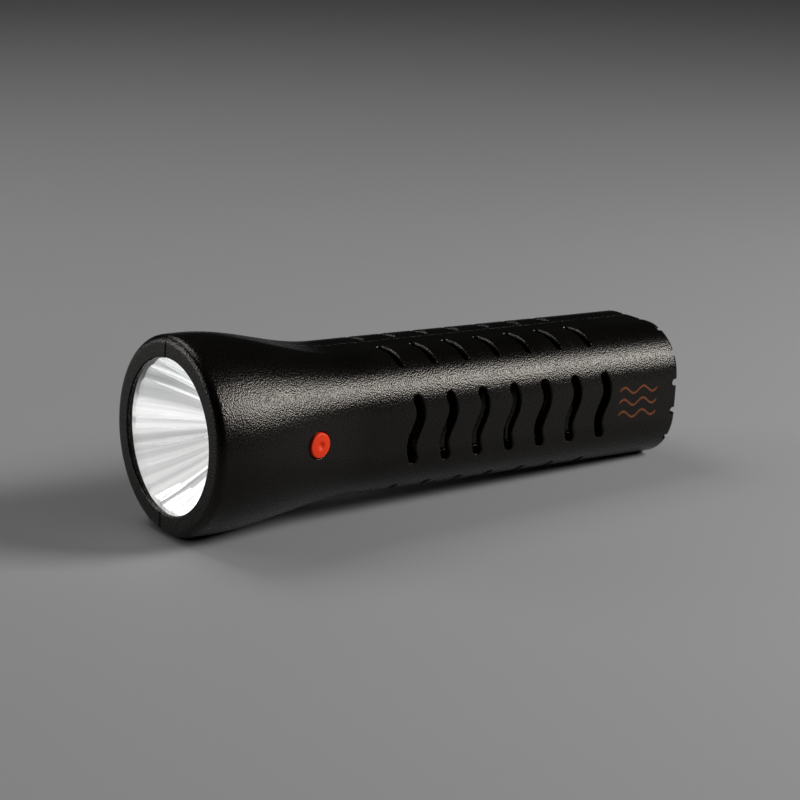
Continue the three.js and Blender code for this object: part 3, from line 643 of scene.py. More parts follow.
def printed_finish(tree, here):
    """The black plastic with three wavy stripes printed on it near the tail."""
    finish = black_plastic_finish(tree, here)
    along, across, up = own_place(tree, here)
    along = along - PRINT_PLACE
    lifted = up - PRINT_SWAY * (along * (math.tau / PRINT_WAVE)).maths("SINE")
    from_stripe = PRINT_PITCH / 2 - (lifted + PRINT_PITCH / 2).maths("PINGPONG", PRINT_PITCH / 2)
    stripe = 1 - from_stripe.smooth_between(PRINT_WIDTH * 0.4, PRINT_WIDTH * 0.6)
    within = 1 - lifted.maths("ABSOLUTE").smooth_between(PRINT_PITCH * 1.4, PRINT_PITCH * 1.45)
    length = 1 - along.maths("ABSOLUTE").smooth_between(PRINT_HALF_LENGTH - PRINT_EDGE, PRINT_HALF_LENGTH)
    outside = 1 - across.smooth_between(*[depth - BODY_HALF_WIDTH for depth in PRINT_FADE])
    ink = stripe * within * length * outside
    finish["Base Color"] = tree.mixed(ink, finish["Base Color"], INK)
    return finish


vents = slot_rows()
printed_plastic = material("printed_plastic", printed_finish)
for side, node, finish in ((NEAR, "housing_near", printed_plastic), (FAR, "housing_far", black_plastic)):
    shell = put_object(node + "_shell", shell_wall(side))
    combined(shell, shell_rails(side), "UNION")
    combined(shell, shell_inside(side), "UNION")
    combined(shell, shell_holes(side), "DIFFERENCE")
    first_slots = put_object("first_slots", slot_tools(side))
    values = {"Tools": first_slots, "Count": SLOT_COUNT, "Pitch": SLOT_PITCH, "Material": finish}
    settled(add_inputs(shell, vents, values))
    bpy.data.objects.remove(first_slots)
    hand_over(smoothed(shell), finish, "black_plastic", "housing", node)

# Lens seal: a soft rubber ring between the bezel and the lens. It is moulded, and pressed into the
# pocket of the two shells, where it keeps dust and spray out of the reflector.
CLEARANCE = 0.0003
SEAL_START = BEZEL_LIP + CLEARANCE
SEAL_END = SEAL_START + 0.0006
SEAL_WIDTH = 0.0019
POCKET_FIT = POCKET_RADIUS - CLEARANCE


def eased(profile, radius, steps=4):
    """A closed profile with its corners rounded, apart from those on the axis."""
    eased_points = []
    for index, corner in enumerate(profile):
        before, after = profile[index - 1], profile[(index + 1) % len(profile)]
        back, forth = before - corner, after - corner
        if corner.y < 1e-9:
            eased_points.append(corner)
            continue
        reach = min(radius / math.tan(back.angle(forth) / 2), back.length * 0.45, forth.length * 0.45)
        start, end = corner + back.normalized() * reach, corner + forth.normalized() * reach
        for step in range(steps + 1):
            share = step / steps
            eased_points.append(start.lerp(corner, share).lerp(corner.lerp(end, share), share))
    return eased_points


def turned(name, profile, edge=0.0002, steps=96):
    """A closed form turned about the optical axis from a closed profile of places and radii."""
    outline = eased([Vector(point) for point in profile], edge)
    turns = [math.tau * step / steps for step in range(steps + 1)]
    rings = [[Vector((p.x, p.y * math.cos(turn), p.y * math.sin(turn))) for p in outline] for turn in turns]
    bm = bmesh.new()
    skin(bm, rings, wrap=True)
    return closed_mesh(bm, name)


def tube_profile(start, end, inner, outer):
    return [(start, inner), (end, inner), (end, outer), (start, outer)]


def plain_finish(colours, flow, grain, rough, relief=None, constants=None):
    """A finish that flows between two colours, with a grain for its roughness and its relief. The flow
    and the grain are scales and details of noise."""

    def finish(tree, here):
        texture = tree.noise(here, *grain)
        sockets = {
            "Base Color": tree.mixed(tree.noise(here, *flow), *colours),
            "Roughness": rough[0] + rough[1] * texture,
        }
        if relief:
            sockets["Normal"] = tree.bump(texture, *relief)
        return sockets | (constants or {})

    return finish


rubber_tones = ((0.009, 0.009, 0.009), (0.016, 0.016, 0.016))
rubber_finish = plain_finish(rubber_tones, (220, 3), (220, 3), (0.78, 0.1), (0.00004,))
seal_profile = tube_profile(SEAL_START, SEAL_END, POCKET_FIT - SEAL_WIDTH, POCKET_FIT)
seal = smoothed(put_object("lens_seal_ring", turned("lens_seal_ring", seal_profile)))
hand_over(seal, material("seal_rubber", rubber_finish), "seal_rubber", "housing", "lens_seal")

# Lens: a flat disc of clear polycarbonate with softened rims, moulded and polished, held between the
# seal and the flange of the reflector. Fine wiping marks show on it only in a reflection.
LENS_START = SEAL_END + CLEARANCE
LENS_END = LENS_START + 0.0015


def clear_finish(tree, here):
    wiped = tree.noise(here, 60, 5)
    return {
        "Base Color": (0.99, 0.99, 0.99),
        "Roughness": 0.01 + 0.03 * wiped.smooth_between(0.5, 0.8),
        "Transmission Weight": 1.0,
        "IOR": 1.49,
    }


def passes_shadow_rays(made):
    """Lets a clear material cast no shadow, as a thin window casts none to speak of."""
    tree = Tree(made.node_tree)
    surface = Socket(tree, made.node_tree.nodes["Principled BSDF"].outputs["BSDF"])
    shadow = tree.node("ShaderNodeLightPath")["Is Shadow Ray"]
    nothing = tree.node("ShaderNodeBsdfTransparent")["BSDF"]
    both = tree.node("ShaderNodeMixShader", {0: shadow, 1: surface, 2: nothing})["Shader"]
    tree.feed(made.node_tree.nodes["Material Output"].inputs["Surface"], both)
    return made


lens_profile = tube_profile(LENS_START, LENS_END, 0, POCKET_FIT)
lens_disc = smoothed(put_object("lens_disc", turned("lens_disc", lens_profile, 0.0003, 128)))
clear_lens = passes_shadow_rays(material("clear_lens", clear_finish))
hand_over(lens_disc, clear_lens, "clear_lens", "housing", "lens")

# Reflector: a paraboloid moulded in one with its rim, scalloped into twenty flutes that even out the
# beam, and plated inside with bright aluminium, on which a painted glow stands for the emitter's light
# reflected in it. Its profile is turned about the axis by a geometry tree that spreads each point by
# its own share of the flute's depth.
FLUTE_COUNT = 20
FLUTE_DEPTH = 0.00055
MOUTH_RADIUS = WINDOW_RADIUS - 0.0004
HUB_RADIUS = 0.005
BOWL_DEPTH = 0.02246
BOWL_WALL = 0.0016
RIM_START = LENS_END + CLEARANCE
RIM_END = RIM_START + 0.001
RIM_CORNER = 0.0002
FOCAL_LENGTH = MOUTH_RADIUS**2 / (4 * BOWL_DEPTH)
BOWL_VERTEX = RIM_START + BOWL_DEPTH
# Seed of the painted glow's tone in each flute, and the heights over which that glow is painted darker towards the
# top.
FLUTE_GLOW_SEED = 0.37
PAINTED_SHADE_RISE = (0.002, 0.016)


def bowl_depth_at(radius):
    return BOWL_VERTEX - radius**2 / (4 * FOCAL_LENGTH)


def reflector_profile(steps=30):
    """A closed profile as a line of points: place along the axis, share of the flute and radius."""
    radii = [blend(MOUTH_RADIUS, HUB_RADIUS, step / steps) for step in range(steps + 1)]
    inside = [(bowl_depth_at(radius), radius / MOUTH_RADIUS, radius) for radius in radii]
    outside = [(bowl_depth_at(radius), 0, radius + BOWL_WALL) for radius in reversed(radii[1:])]
    rim = [
        (RIM_END, 0, MOUTH_RADIUS + BOWL_WALL),
        (RIM_END, 0, POCKET_FIT - RIM_CORNER),
        (RIM_END - RIM_CORNER, 0, POCKET_FIT),
        (RIM_START + RIM_CORNER, 0, POCKET_FIT),
        (RIM_START, 0, POCKET_FIT - RIM_CORNER),
    ]
    return inside + outside + rim + inside[:1]


def fluted_turning(points, flute_points=14):
    """A tree that turns a profile about the axis and scallops it."""
    entries = {"Shape": "Geometry", "Profile": "Object", "Flutes": "Int", "Depth": "Float"}
    tree, given = geometry_tree("fluted_turning", entries | {"Material": "Material"})
    sizes = {"Vertices X": points, "Vertices Y": given["Flutes"] * flute_points + 1, "Size X": 1, "Size Y": 1}
    grid = tree.node("GeometryNodeMeshGrid", sizes)["Mesh"]
    spot = tree.node("GeometryNodeInputPosition")["Position"]
    spot = tree.node("ShaderNodeSeparateXYZ", {"Vector": spot})
    index = (spot["X"] + 0.5).maths("MULTIPLY", points - 1).maths("ROUND")
    turn = (spot["Y"] + 0.5) * math.tau
    profile = tree.node("GeometryNodeObjectInfo", {"Object": given["Profile"]})["Geometry"]
    place = tree.node("GeometryNodeInputPosition")["Position"]
    sample = {"Geometry": profile, "Value": place, "Index": index}
    picked = tree.node("GeometryNodeSampleIndex", sample, data_type="FLOAT_VECTOR")
    picked = tree.node("ShaderNodeSeparateXYZ", {"Vector": picked["Value"]})
    ripple = (turn * given["Flutes"] * 0.5).maths("SINE").maths("ABSOLUTE")
    radius = picked["Z"] + ripple * given["Depth"] * picked["Y"]
    across, rise = radius * turn.maths("COSINE"), radius * turn.maths("SINE")
    moved = tree.node("ShaderNodeCombineXYZ", {"X": picked["X"], "Y": across, "Z": rise})["Vector"]
    bowl = tree.node("GeometryNodeSetPosition", {"Geometry": grid, "Position": moved})["Geometry"]
    whole = tree.node("GeometryNodeMergeByDistance", {"Geometry": bowl, "Distance": 1e-6})["Geometry"]
    real = tree.node("GeometryNodeRealizeInstances", {"Geometry": whole})["Geometry"]
    return put_out(tree, real, given["Material"])


def outwards(thing):
    """Turns the faces of a closed piece outwards."""
    bm = bmesh.new()
    bm.from_mesh(thing.data)
    bmesh.ops.recalc_face_normals(bm, faces=bm.faces)
    bm.to_mesh(thing.data)
    bm.free()
    return thing


def chrome_and_painted_glow_finish(tree, here):
    """Bright plating with a painted glow that stands for the emitter's light reflected in it: each flute
    glows in its own tone, with painted streaks along it, and the glow is painted darker towards the top."""
    haze = tree.noise(here, 90, 4)
    _, across, up = own_place(tree, here)
    flute = across.maths("ARCTAN2", up) * (FLUTE_COUNT / math.tau)
    flute_glow_place = {"W": flute.maths("FLOOR") + FLUTE_GLOW_SEED}
    flute_glow_tone = tree.node("ShaderNodeTexWhiteNoise", flute_glow_place, noise_dimensions="1D")["Value"]
    painted_streak = tree.node("ShaderNodeTexNoise", {"W": flute, "Scale": 1.4}, noise_dimensions="1D")["Fac"]
    painted_glow = 0.3 + 0.35 * flute_glow_tone + 0.35 * painted_streak.smooth_between(0.35, 0.65)
    painted_glow = painted_glow * (1 - up.smooth_between(*PAINTED_SHADE_RISE))
    return {
        "Base Color": tree.mixed(haze, (0.80, 0.81, 0.82), (0.88, 0.89, 0.90)),
        "Metallic": 1.0,
        "Roughness": 0.08 + 0.06 * haze,
        # Painted glow: the emission stands for the emitter's light reflected in the flutes, with painted streaks,
        # and is painted darker towards the top.
        "Emission Color": tree.mixed(painted_glow, (0.10, 0.10, 0.10), (0.95, 0.95, 0.94)),
        "Emission Strength": 1.0,
        "Normal": tree.bump(tree.noise(here, 500, 2), 0.00001),
    }


profile_points = reflector_profile()
profile_mesh = bpy.data.meshes.new("reflector_profile")
profile_mesh.from_pydata(profile_points, [], [])
profile_line = put_object("reflector_profile", profile_mesh)
# The reflector's plating, with its painted glow.
chrome = material("chrome_reflector", chrome_and_painted_glow_finish)
bowl = put_object("reflector_bowl", bpy.data.meshes.new("reflector_bowl"))
bowl_values = {"Profile": profile_line, "Flutes": FLUTE_COUNT, "Depth": FLUTE_DEPTH, "Material": chrome}
settled(add_inputs(bowl, fluted_turning(len(profile_points)), bowl_values))
bpy.data.objects.remove(profile_line)
hand_over(smoothed(outwards(bowl), 35), chrome, "chrome_reflector", "housing", "reflector")

# Heat sink: turned from an aluminium bar with three fins, and pushed into the reflector's hub from
# behind. Its bore takes the two wires and its pedestal carries the light emitter.
PEDESTAL_RADIUS = 0.0043
PEDESTAL_RISE = 0.0036
SINK_BORE = 0.002
SINK_CORE = 0.0056
SINK_EDGE = 0.00018
FIN_RADIUS = 0.0105
FIN_THICKNESS = 0.0016
FIN_PITCH = 0.0036
FIN_COUNT = 3
SINK_START = bowl_depth_at(HUB_RADIUS) + CLEARANCE
LATHE_RINGS = 30000


def sink_profile():
    face = SINK_START - PEDESTAL_RISE
    profile = [(face, SINK_BORE), (face, PEDESTAL_RADIUS)]
    for fin in range(FIN_COUNT):
        start = SINK_START + fin * FIN_PITCH
        profile += [(start, SINK_CORE if fin else PEDESTAL_RADIUS), (start, FIN_RADIUS)]
        profile += [(start + FIN_THICKNESS, FIN_RADIUS), (start + FIN_THICKNESS, SINK_CORE)]
    return profile[:-1] + [(profile[-1][0], SINK_BORE)]


def turned_metal_finish(tree, here):
    along, across, up = own_place(tree, here)
    radius = (across * across + up * up) ** 0.5
    rings = ((radius + along) * LATHE_RINGS).maths("SINE")
    stain = tree.noise(here, 180, 4)
    return {
        "Base Color": tree.mixed(stain, (0.42, 0.43, 0.45), (0.55, 0.56, 0.57)),
        "Metallic": 1.0,
        "Roughness": 0.30 + 0.12 * stain,
        "Normal": tree.bump(rings, 0.00001, 0.4),
    }


sink_metal = material("sink_aluminium", turned_metal_finish)
sink = smoothed(put_object("finned_sink", turned("finned_sink", sink_profile(), SINK_EDGE)))
hand_over(sink, sink_metal, "sink_aluminium", "housing", "heat_sink")

# Emitter board: a round metal-cored board, white with solder mask, with two tinned pads on its face.
# It is glued to the pedestal with heat paste.
DISC_END = SINK_START - PEDESTAL_RISE - CLEARANCE
DISC_START = DISC_END - 0.001
DISC_EDGE = 0.0001
PAD_PLACE = 0.0031
PAD_RADIUS = 0.0006


def white_board_finish(tree, here):
    _, across, up = own_place(tree, here)
    height = up.maths("ABSOLUTE") - PAD_PLACE
    pad = 1 - ((across * across + height * height) ** 0.5).smooth_between(PAD_RADIUS, PAD_RADIUS * 1.15)
    mottle = tree.noise(here, 900, 2)
    mask = tree.mixed(mottle, (0.74, 0.76, 0.74), (0.80, 0.81, 0.79))
    return {
        "Base Color": tree.mixed(pad, mask, (0.55, 0.56, 0.57)),
        "Metallic": pad,
        "Roughness": 0.42 - 0.15 * pad + 0.05 * mottle,
        "Normal": tree.bump(pad, 0.00008),
    }


disc_profile = tube_profile(DISC_START, DISC_END, 0, PEDESTAL_RADIUS)
disc = smoothed(put_object("emitter_disc", turned("emitter_disc", disc_profile, DISC_EDGE, 64)))
hand_over(disc, material("white_board", white_board_finish), "white_board", "housing", "emitter_board")

# Light emitter: a square ceramic chip under a clear silicone dome, soldered to its board. It is lit,
# and the yellow phosphor under the dome glows a cool white.
CHIP_SIDE = 0.0034
CHIP_BASE = 0.0008
CHIP_CORNER = 0.0002
CHIP_EDGE = 0.00006
DOME_RADIUS = 0.0013
CHIP_BACK = DISC_START - CLEARANCE
CHIP_FRONT = CHIP_BACK - CHIP_BASE
GLOW_EDGE = 0.0001
GLOW_STRENGTH = 12.0


def rounded_box(half_width, half_height, corner, middle=0, steps=6):
    """An outline that goes round anticlockwise, with its middle moved sideways."""
    points = []
    for quarter, (side, up) in enumerate(((1, 1), (-1, 1), (-1, -1), (1, -1))):
        for step in range(steps + 1):
            turn = math.radians(90) * (quarter + step / steps)
            along = side * (half_width - corner) + corner * math.cos(turn)
            points.append(Vector((middle + along, up * (half_height - corner) + corner * math.sin(turn))))
    return points


def along_axis(point, height):
    """Places a point of Y and Z at a height along X."""
    return Vector((height, point.x, point.y))


def slab_mesh(name, outline, start, end, edge, steps=4):
    """A closed slab over an outline of Y and Z, with both its edges rounded."""
    near = [(-inset, start + back) for back, inset in rounded_end(edge, steps)]
    far = [(-inset, end - back) for back, inset in reversed(rounded_end(edge, steps))]
    return columns_mesh(name, [(outline, near + far, None, along_axis)])


def emitter_finish(tree, here):
    along, across, up = own_place(tree, here)
    front = 1 - along.smooth_between(CHIP_FRONT - GLOW_EDGE, CHIP_FRONT + GLOW_EDGE)
    radius = (across * across + up * up) ** 0.5
    glow = front * (1 - radius.smooth_between(DOME_RADIUS * 0.96, DOME_RADIUS * 1.04))
    ceramic = tree.mixed(tree.noise(here, 2000, 2), (0.70, 0.69, 0.64), (0.78, 0.77, 0.72))
    return {
        "Base Color": tree.mixed(glow, ceramic, (0.92, 0.80, 0.38)),
        "Roughness": 0.35 - 0.2 * glow,
        "Emission Color": tree.mixed(glow, (0, 0, 0), (0.93, 0.97, 1.0)),
        "Emission Strength": GLOW_STRENGTH,
    }


chip_outline = rounded_box(CHIP_SIDE / 2, CHIP_SIDE / 2, CHIP_CORNER)
chip = slab_mesh("emitter_dome", chip_outline, CHIP_FRONT, CHIP_BACK, CHIP_EDGE)
emitter = put_object("emitter_dome", chip)
dome_profile = [
    (CHIP_FRONT - DOME_RADIUS * math.cos(turn), DOME_RADIUS * math.sin(turn)) for turn in quarter_turns(12)
]
dome_profile += [(CHIP_FRONT + CHIP_BASE / 2, DOME_RADIUS), (CHIP_FRONT + CHIP_BASE / 2, 0)]
smoothed(combined(emitter, turned("dome", dome_profile, 0, 48), "UNION"))
hand_over(emitter, material("emitter_glow", emitter_finish), "emitter_glow", "housing", "light_emitter")

# Push button: moulded in orange plastic. Its crown follows the curve of the bell and has a small
# dimple for the thumb, and a collar under the shell keeps it in.
BUTTON_RADIUS = 0.0041
BUTTON_PROUD = 0.001
BUTTON_EDGE = 0.0006
DIMPLE_RADIUS = 0.0018
DIMPLE_DEPTH = 0.0006
COLLAR_RADIUS = 0.0056
COLLAR_THICKNESS = 0.0011
STEM_RADIUS = 0.002
STEM_LENGTH = 0.0005
CROWN = 0.00025


def button_levels():
    """Levels from the middle of the crown outwards, down to the collar and in to the stem."""

    def rise(radius):
        dimple = DIMPLE_DEPTH * max(0, 1 - (radius / DIMPLE_RADIUS) ** 2) ** 2
        return BUTTON_PROUD - CROWN * (radius / BUTTON_RADIUS) ** 2 - dimple

    shoulder = BUTTON_RADIUS - BUTTON_EDGE
    radii = steps_between(0.0, shoulder, 24)
    crown = [(radius - BUTTON_RADIUS, rise(radius), FOLLOWS) for radius in radii]
    low = rise(shoulder) - BUTTON_EDGE
    turns = quarter_turns(6)[1:]
    insets = [(BUTTON_EDGE * (math.sin(turn) - 1), BUTTON_EDGE * math.cos(turn)) for turn in turns]
    edge = [(growth, low + height, FOLLOWS) for growth, height in insets]
    under = side_reach(BUTTON_PLACE, 0) - BUTTON_SEAT_DEPTH - CLEARANCE
    collar, stem = COLLAR_RADIUS - BUTTON_RADIUS, STEM_RADIUS - BUTTON_RADIUS
    collar_end = under - COLLAR_THICKNESS
    below = [(0, under), (collar, under), (collar, collar_end)]
    return crown + edge + below + [(stem, collar_end), (stem, collar_end - STEM_LENGTH)]


orange_tones = ((0.66, 0.028, 0.002), (0.80, 0.040, 0.005))
satin = {"Specular IOR Level": 0.2}
orange_finish = plain_finish(orange_tones, (300, 3), (2600, 1), (0.42, 0.10), (0.00003, 0.6), satin)
button_outline = circle_outline(BUTTON_PLACE, 0, BUTTON_RADIUS, 72)
button_column = (button_outline, button_levels(), side_reach, facing(NEAR))
button_cap = smoothed(put_object("button_cap", columns_mesh("button_cap", [button_column])))
hand_over(button_cap, material("orange_plastic", orange_finish), "orange_plastic", "push_button", "button")

# Screws: pan heads of zinc plated steel with a cross recess, each turned to where it pulled tight.
# Six hold the shells together, two hold the control board and two hold the tail cap to its tray.
SCREW_SIZES = {"radius": 0.0011, "head_radius": 0.0019, "head": 0.0016}
BOARD_SCREW_SIZES = {"radius": 0.0008, "head_radius": 0.0018, "head": 0.0012}
SHELL_SCREW_LENGTH = 0.017
BOARD_SCREW_LENGTH = 0.007
CAP_SCREW_LENGTH = 0.007
SCREW_EDGE = 0.00012
CAP_SCREW_RISE = 0.0075
BOARD_BACK = 0.01183
TRAY_END = 0.1754
TRAY_WALL = 0.002


def loose_screw(length, radius, head_radius, head):
    """A screw along X, its head before the origin and its shank behind it."""
    profile = [(length, 0), (length - radius, radius), (0, radius), (0, head_radius)]
    profile += [(-head * 0.55, head_radius), (-head, head_radius * 0.55), (-head, 0)]
    made = put_object("screw", turned("screw", profile, SCREW_EDGE, 32))
    arm, reach, depth = head_radius * 0.16, head_radius * 0.58, head * 0.62
    outline = rounded_box(reach, arm, arm * 0.6, steps=3)
    levels = [(0, -head - 0.001), (0, -head + depth * 0.3), (-arm * 0.7, -head + depth)]
    for turn in (0, math.radians(90)):
        recess = columns_mesh("recess", [(outline, levels, None, along_axis)])
        recess.transform(Matrix.Rotation(turn, 4, "X"))
        combined(made, recess, "DIFFERENCE")
    return made


def driven_screws():
    """A tree that puts a screw at each point, facing one way and turned about itself at random."""
    entries = {"Seats": "Geometry", "Screw": "Object", "Facing": "Vector", "Seed": "Int"}
    tree, given = geometry_tree("driven_screws", entries | {"Material": "Material"})
    screw = tree.node("GeometryNodeObjectInfo", {"Object": given["Screw"]})["Geometry"]
    inputs = {"Points": given["Seats"], "Instance": screw, "Rotation": given["Facing"]}
    placed = tree.node("GeometryNodeInstanceOnPoints", inputs)["Instances"]
    inputs = {"Min": 0.0, "Max": math.pi, "Seed": given["Seed"]}
    spin = tree.node("FunctionNodeRandomValue", inputs, data_type="FLOAT")["Value"]
    spin = tree.node("ShaderNodeCombineXYZ", {"X": spin})["Vector"]
    inputs = {"Instances": placed, "Rotation": spin, "Local Space": True}
    spun = tree.node("GeometryNodeRotateInstances", inputs)["Instances"]
    real = tree.node("GeometryNodeRealizeInstances", {"Geometry": spun})["Geometry"]
    return put_out(tree, real, given["Material"])


steel_tones = ((0.33, 0.34, 0.35), (0.46, 0.47, 0.48))
steel_finish = plain_finish(steel_tones, (700, 3), (700, 3), (0.28, 0.18), constants={"Metallic": 1.0})
screw_steel = material("screw_steel", steel_finish)
screw_tree = driven_screws()
long_seats = [(x, SCREW_SEAT + CLEARANCE, up * rise) for up in (-1, 1) for x, rise in BOSS_PLACES]
long_nodes = [f"housing_screw_{index}" for index in range(1, len(long_seats) + 1)]
small_seats = [(POST_PLACE[0], -BOARD_BACK + CLEARANCE, up * POST_PLACE[1]) for up in (-1, 1)]
small_nodes = ("board_screw_1", "board_screw_2")
cap_seats = [(TRAY_END - TRAY_WALL - CLEARANCE, 0, up * CAP_SCREW_RISE) for up in (-1, 1)]
cap_nodes = ("cap_screw_1", "cap_screw_2")
for name, length, sizes, seats, turn, body, nodes, seed in (
    ("shell_screws", SHELL_SCREW_LENGTH, SCREW_SIZES, long_seats, -90, "housing", long_nodes, 3),
    ("board_screws", BOARD_SCREW_LENGTH, BOARD_SCREW_SIZES, small_seats, -90, "housing", small_nodes, 5),
    ("cap_screws", CAP_SCREW_LENGTH, SCREW_SIZES, cap_seats, 0, "power_cell", cap_nodes, 8),
):
    screw = loose_screw(length, **sizes)
    points = bpy.data.meshes.new(name)
    points.from_pydata(seats, [], [])
    screws = put_object(name, points)
    facing_turn = (0, 0, math.radians(turn))
    values = {"Screw": screw, "Facing": facing_turn, "Seed": seed, "Material": screw_steel}
    settled(add_inputs(screws, screw_tree, values))
    bpy.data.objects.remove(screw)
    hand_over(smoothed(screws, 35), screw_steel, "screw_steel", body, *nodes)

# Power cell tray: a hollow black drawer, moulded, with five air windows on each side. It carries the
# cell's plates and slides out of the tail on the rails of the shells.
TRAY_START = 0.079
TRAY_HALF_WIDTH = 0.0185
TRAY_HALF_HEIGHT = 0.015
TRAY_CORNER = 0.005
TRAY_EDGE = 0.0005
TRAY_INNER_EDGE = 0.0003
WINDOW_COUNT = 5
WINDOW_BAR = 0.0035
WINDOW_HALF_HEIGHT = 0.010
WINDOW_CORNER = 0.0012
WINDOW_EDGE = 0.0004
OVERCUT = 0.002
SCREW_BORE = (TRAY_END - 0.004, TRAY_END + 0.001)


def window_columns():
    """Cutters that pass through both sides of the tray and round the edges of its windows."""
    pitch = (TRAY_END - TRAY_START - 2 * TRAY_WALL - WINDOW_BAR) / WINDOW_COUNT
    half = (pitch - WINDOW_BAR) / 2
    ends = [(WINDOW_EDGE, TRAY_HALF_WIDTH + OVERCUT)]
    ends += [(inset, TRAY_HALF_WIDTH - back) for back, inset in rounded_end(WINDOW_EDGE, 4)]
    levels = ends + [(growth, -height) for growth, height in reversed(ends)]
    first = TRAY_START + TRAY_WALL + WINDOW_BAR
    middles = [first + window * pitch + half for window in range(WINDOW_COUNT)]
    outlines = [rounded_box(half, WINDOW_HALF_HEIGHT, WINDOW_CORNER, middle, 5) for middle in middles]
    return [(outline, levels, None, facing(FAR)) for outline in outlines]


def screw_bores(start, end):
    """Cutters for the two screws that hold the tail cap to the tray."""
    levels = [(0, start), (0, end)]
    outlines = [circle_outline(0, up * CAP_SCREW_RISE, SCREW_HOLE, 24) for up in (-1, 1)]
    return columns_mesh("screw_bores", [(outline, levels, None, along_axis) for outline in outlines])


outline = rounded_box(TRAY_HALF_WIDTH, TRAY_HALF_HEIGHT, TRAY_CORNER, steps=10)
tray = put_object("cell_drawer", slab_mesh("cell_drawer", outline, TRAY_START, TRAY_END, TRAY_EDGE))
inner_sizes = [size - TRAY_WALL for size in (TRAY_HALF_WIDTH, TRAY_HALF_HEIGHT, TRAY_CORNER)]
inner_outline = rounded_box(*inner_sizes, steps=10)
inner_ends = (TRAY_START + TRAY_WALL, TRAY_END - TRAY_WALL)
combined(tray, slab_mesh("inside", inner_outline, *inner_ends, TRAY_INNER_EDGE), "DIFFERENCE")
combined(tray, columns_mesh("windows", window_columns()), "DIFFERENCE")
combined(tray, screw_bores(*SCREW_BORE), "DIFFERENCE")
hand_over(smoothed(tray), black_plastic, "black_plastic", "power_cell", "cell_tray")

# Tail cap: the moulded end of the drawer, screwed to the tray. Its flange closes the tail, and two
# rounded scoops leave a bridge between them that a finger and a thumb can pull.
CAP_FACE = LENGTH - 0.0014
CAP_FLANGE = 0.0029
CAP_DEPTH = 0.010
CAP_GAP = WALL + CLEARANCE
CAP_START = CAP_FACE - CAP_FLANGE - CAP_DEPTH
CAP_CORNER = 0.003
CAP_EDGE = 0.0006
PLUG_EDGE = 0.0003
SCOOP_INNER = 0.003
SCOOP_OUTER = 0.015
SCOOP_HALF_HEIGHT = 0.012
SCOOP_DEPTH = 0.009
SCOOP_CORNER = 0.003
SCOOP_LIP = 0.0009
SCOOP_FLOOR = 0.0022
CAP_BORE = (CAP_START - 0.001, CAP_START + CAP_SCREW_LENGTH - TRAY_WALL)


def scoop_columns():
    """Cutters from outside the cap's face to the rounded floors of the scoops."""
    levels = [(SCOOP_LIP, CAP_FACE + OVERCUT)]
    levels += [(inset, CAP_FACE - back) for back, inset in rounded_end(SCOOP_LIP, 6)]
    floor = CAP_FACE - SCOOP_DEPTH
    levels += [(-back, floor + inset) for back, inset in rounded_end(SCOOP_FLOOR, 6)]
    half, middle = (SCOOP_OUTER - SCOOP_INNER) / 2, (SCOOP_OUTER + SCOOP_INNER) / 2
    outlines = [rounded_box(half, SCOOP_HALF_HEIGHT, SCOOP_CORNER, side * middle, 10) for side in (-1, 1)]
    return [(outline, levels, None, along_axis) for outline in outlines]


flange_sizes = [size - CAP_GAP for size in (BODY_HALF_WIDTH, BODY_HALF_HEIGHT, BODY_CORNER)]
flange_outline = rounded_box(*flange_sizes, steps=20)
flange = slab_mesh("drawer_cap", flange_outline, CAP_FACE - CAP_FLANGE, CAP_FACE, CAP_EDGE)
tail_cap = put_object("drawer_cap", flange)
plug_outline = rounded_box(TRAY_HALF_WIDTH, TRAY_HALF_HEIGHT, CAP_CORNER)
combined(tail_cap, slab_mesh("plug", plug_outline, CAP_START, CAP_FACE - CAP_FLANGE / 2, PLUG_EDGE), "UNION")
combined(tail_cap, columns_mesh("scoops", scoop_columns()), "DIFFERENCE")
combined(tail_cap, screw_bores(*CAP_BORE), "DIFFERENCE")
hand_over(smoothed(tail_cap), black_plastic, "black_plastic", "power_cell", "tail_cap")

# Power cell plates and pads: a cast magnesium plate between two pads of wet felt, with a sheet of
# carbon on wire mesh outside each, through which the cell takes its oxygen from the air.
CELL_WEAVE = 0.0009


def magnesium_finish(tree, here):
    cast = tree.noise(here, 260, 5)
    bloom = tree.noise(here, 45, 3).smooth_between(0.45, 0.75)
    return {
        "Base Color": tree.mixed(bloom, (0.30, 0.31, 0.30), (0.46, 0.46, 0.45)),
        "Metallic": 1.0 - 0.5 * bloom,
        "Roughness": 0.45 + 0.2 * cast,
        "Normal": tree.bump(cast, 0.00015),
    }


def felt_finish(tree, here):
    fibre = tree.noise(here, 1500, 6)
    damp = tree.noise(here, 60, 3).smooth_between(0.4, 0.7)
    dry = tree.mixed(fibre, (0.60, 0.58, 0.51), (0.74, 0.72, 0.66))
    return {
        "Base Color": tree.mixed(damp, dry, (0.46, 0.44, 0.37)),
        "Roughness": 0.92 - 0.25 * damp,
        "Normal": tree.bump(fibre, 0.0003),
    }


def carbon_finish(tree, here):
    along, _, up = own_place(tree, here)
    weave = (along * (math.tau / CELL_WEAVE)).maths("SINE") * (up * (math.tau / CELL_WEAVE)).maths("SINE")
    soot = tree.noise(here, 1200, 4)
    return {
        "Base Color": tree.mixed(soot, (0.003, 0.003, 0.003), (0.009, 0.009, 0.010)),
        "Roughness": 0.70 + 0.2 * soot,
        "Normal": tree.bump(weave, 0.0001),
    }


def dress(finish, *nodes):
    """Gives CAD nodes that keep their own shape a finish."""
    for node in nodes:
        for entry in frame["nodes"][node].material_slots:
            entry.material = finish


dress(material("anode_metal", magnesium_finish), "cell_plate")
dress(material("wet_felt", felt_finish), "cell_pad_near", "cell_pad_far")
dress(material("carbon_sheet", carbon_finish), "air_electrode_near", "air_electrode_far")

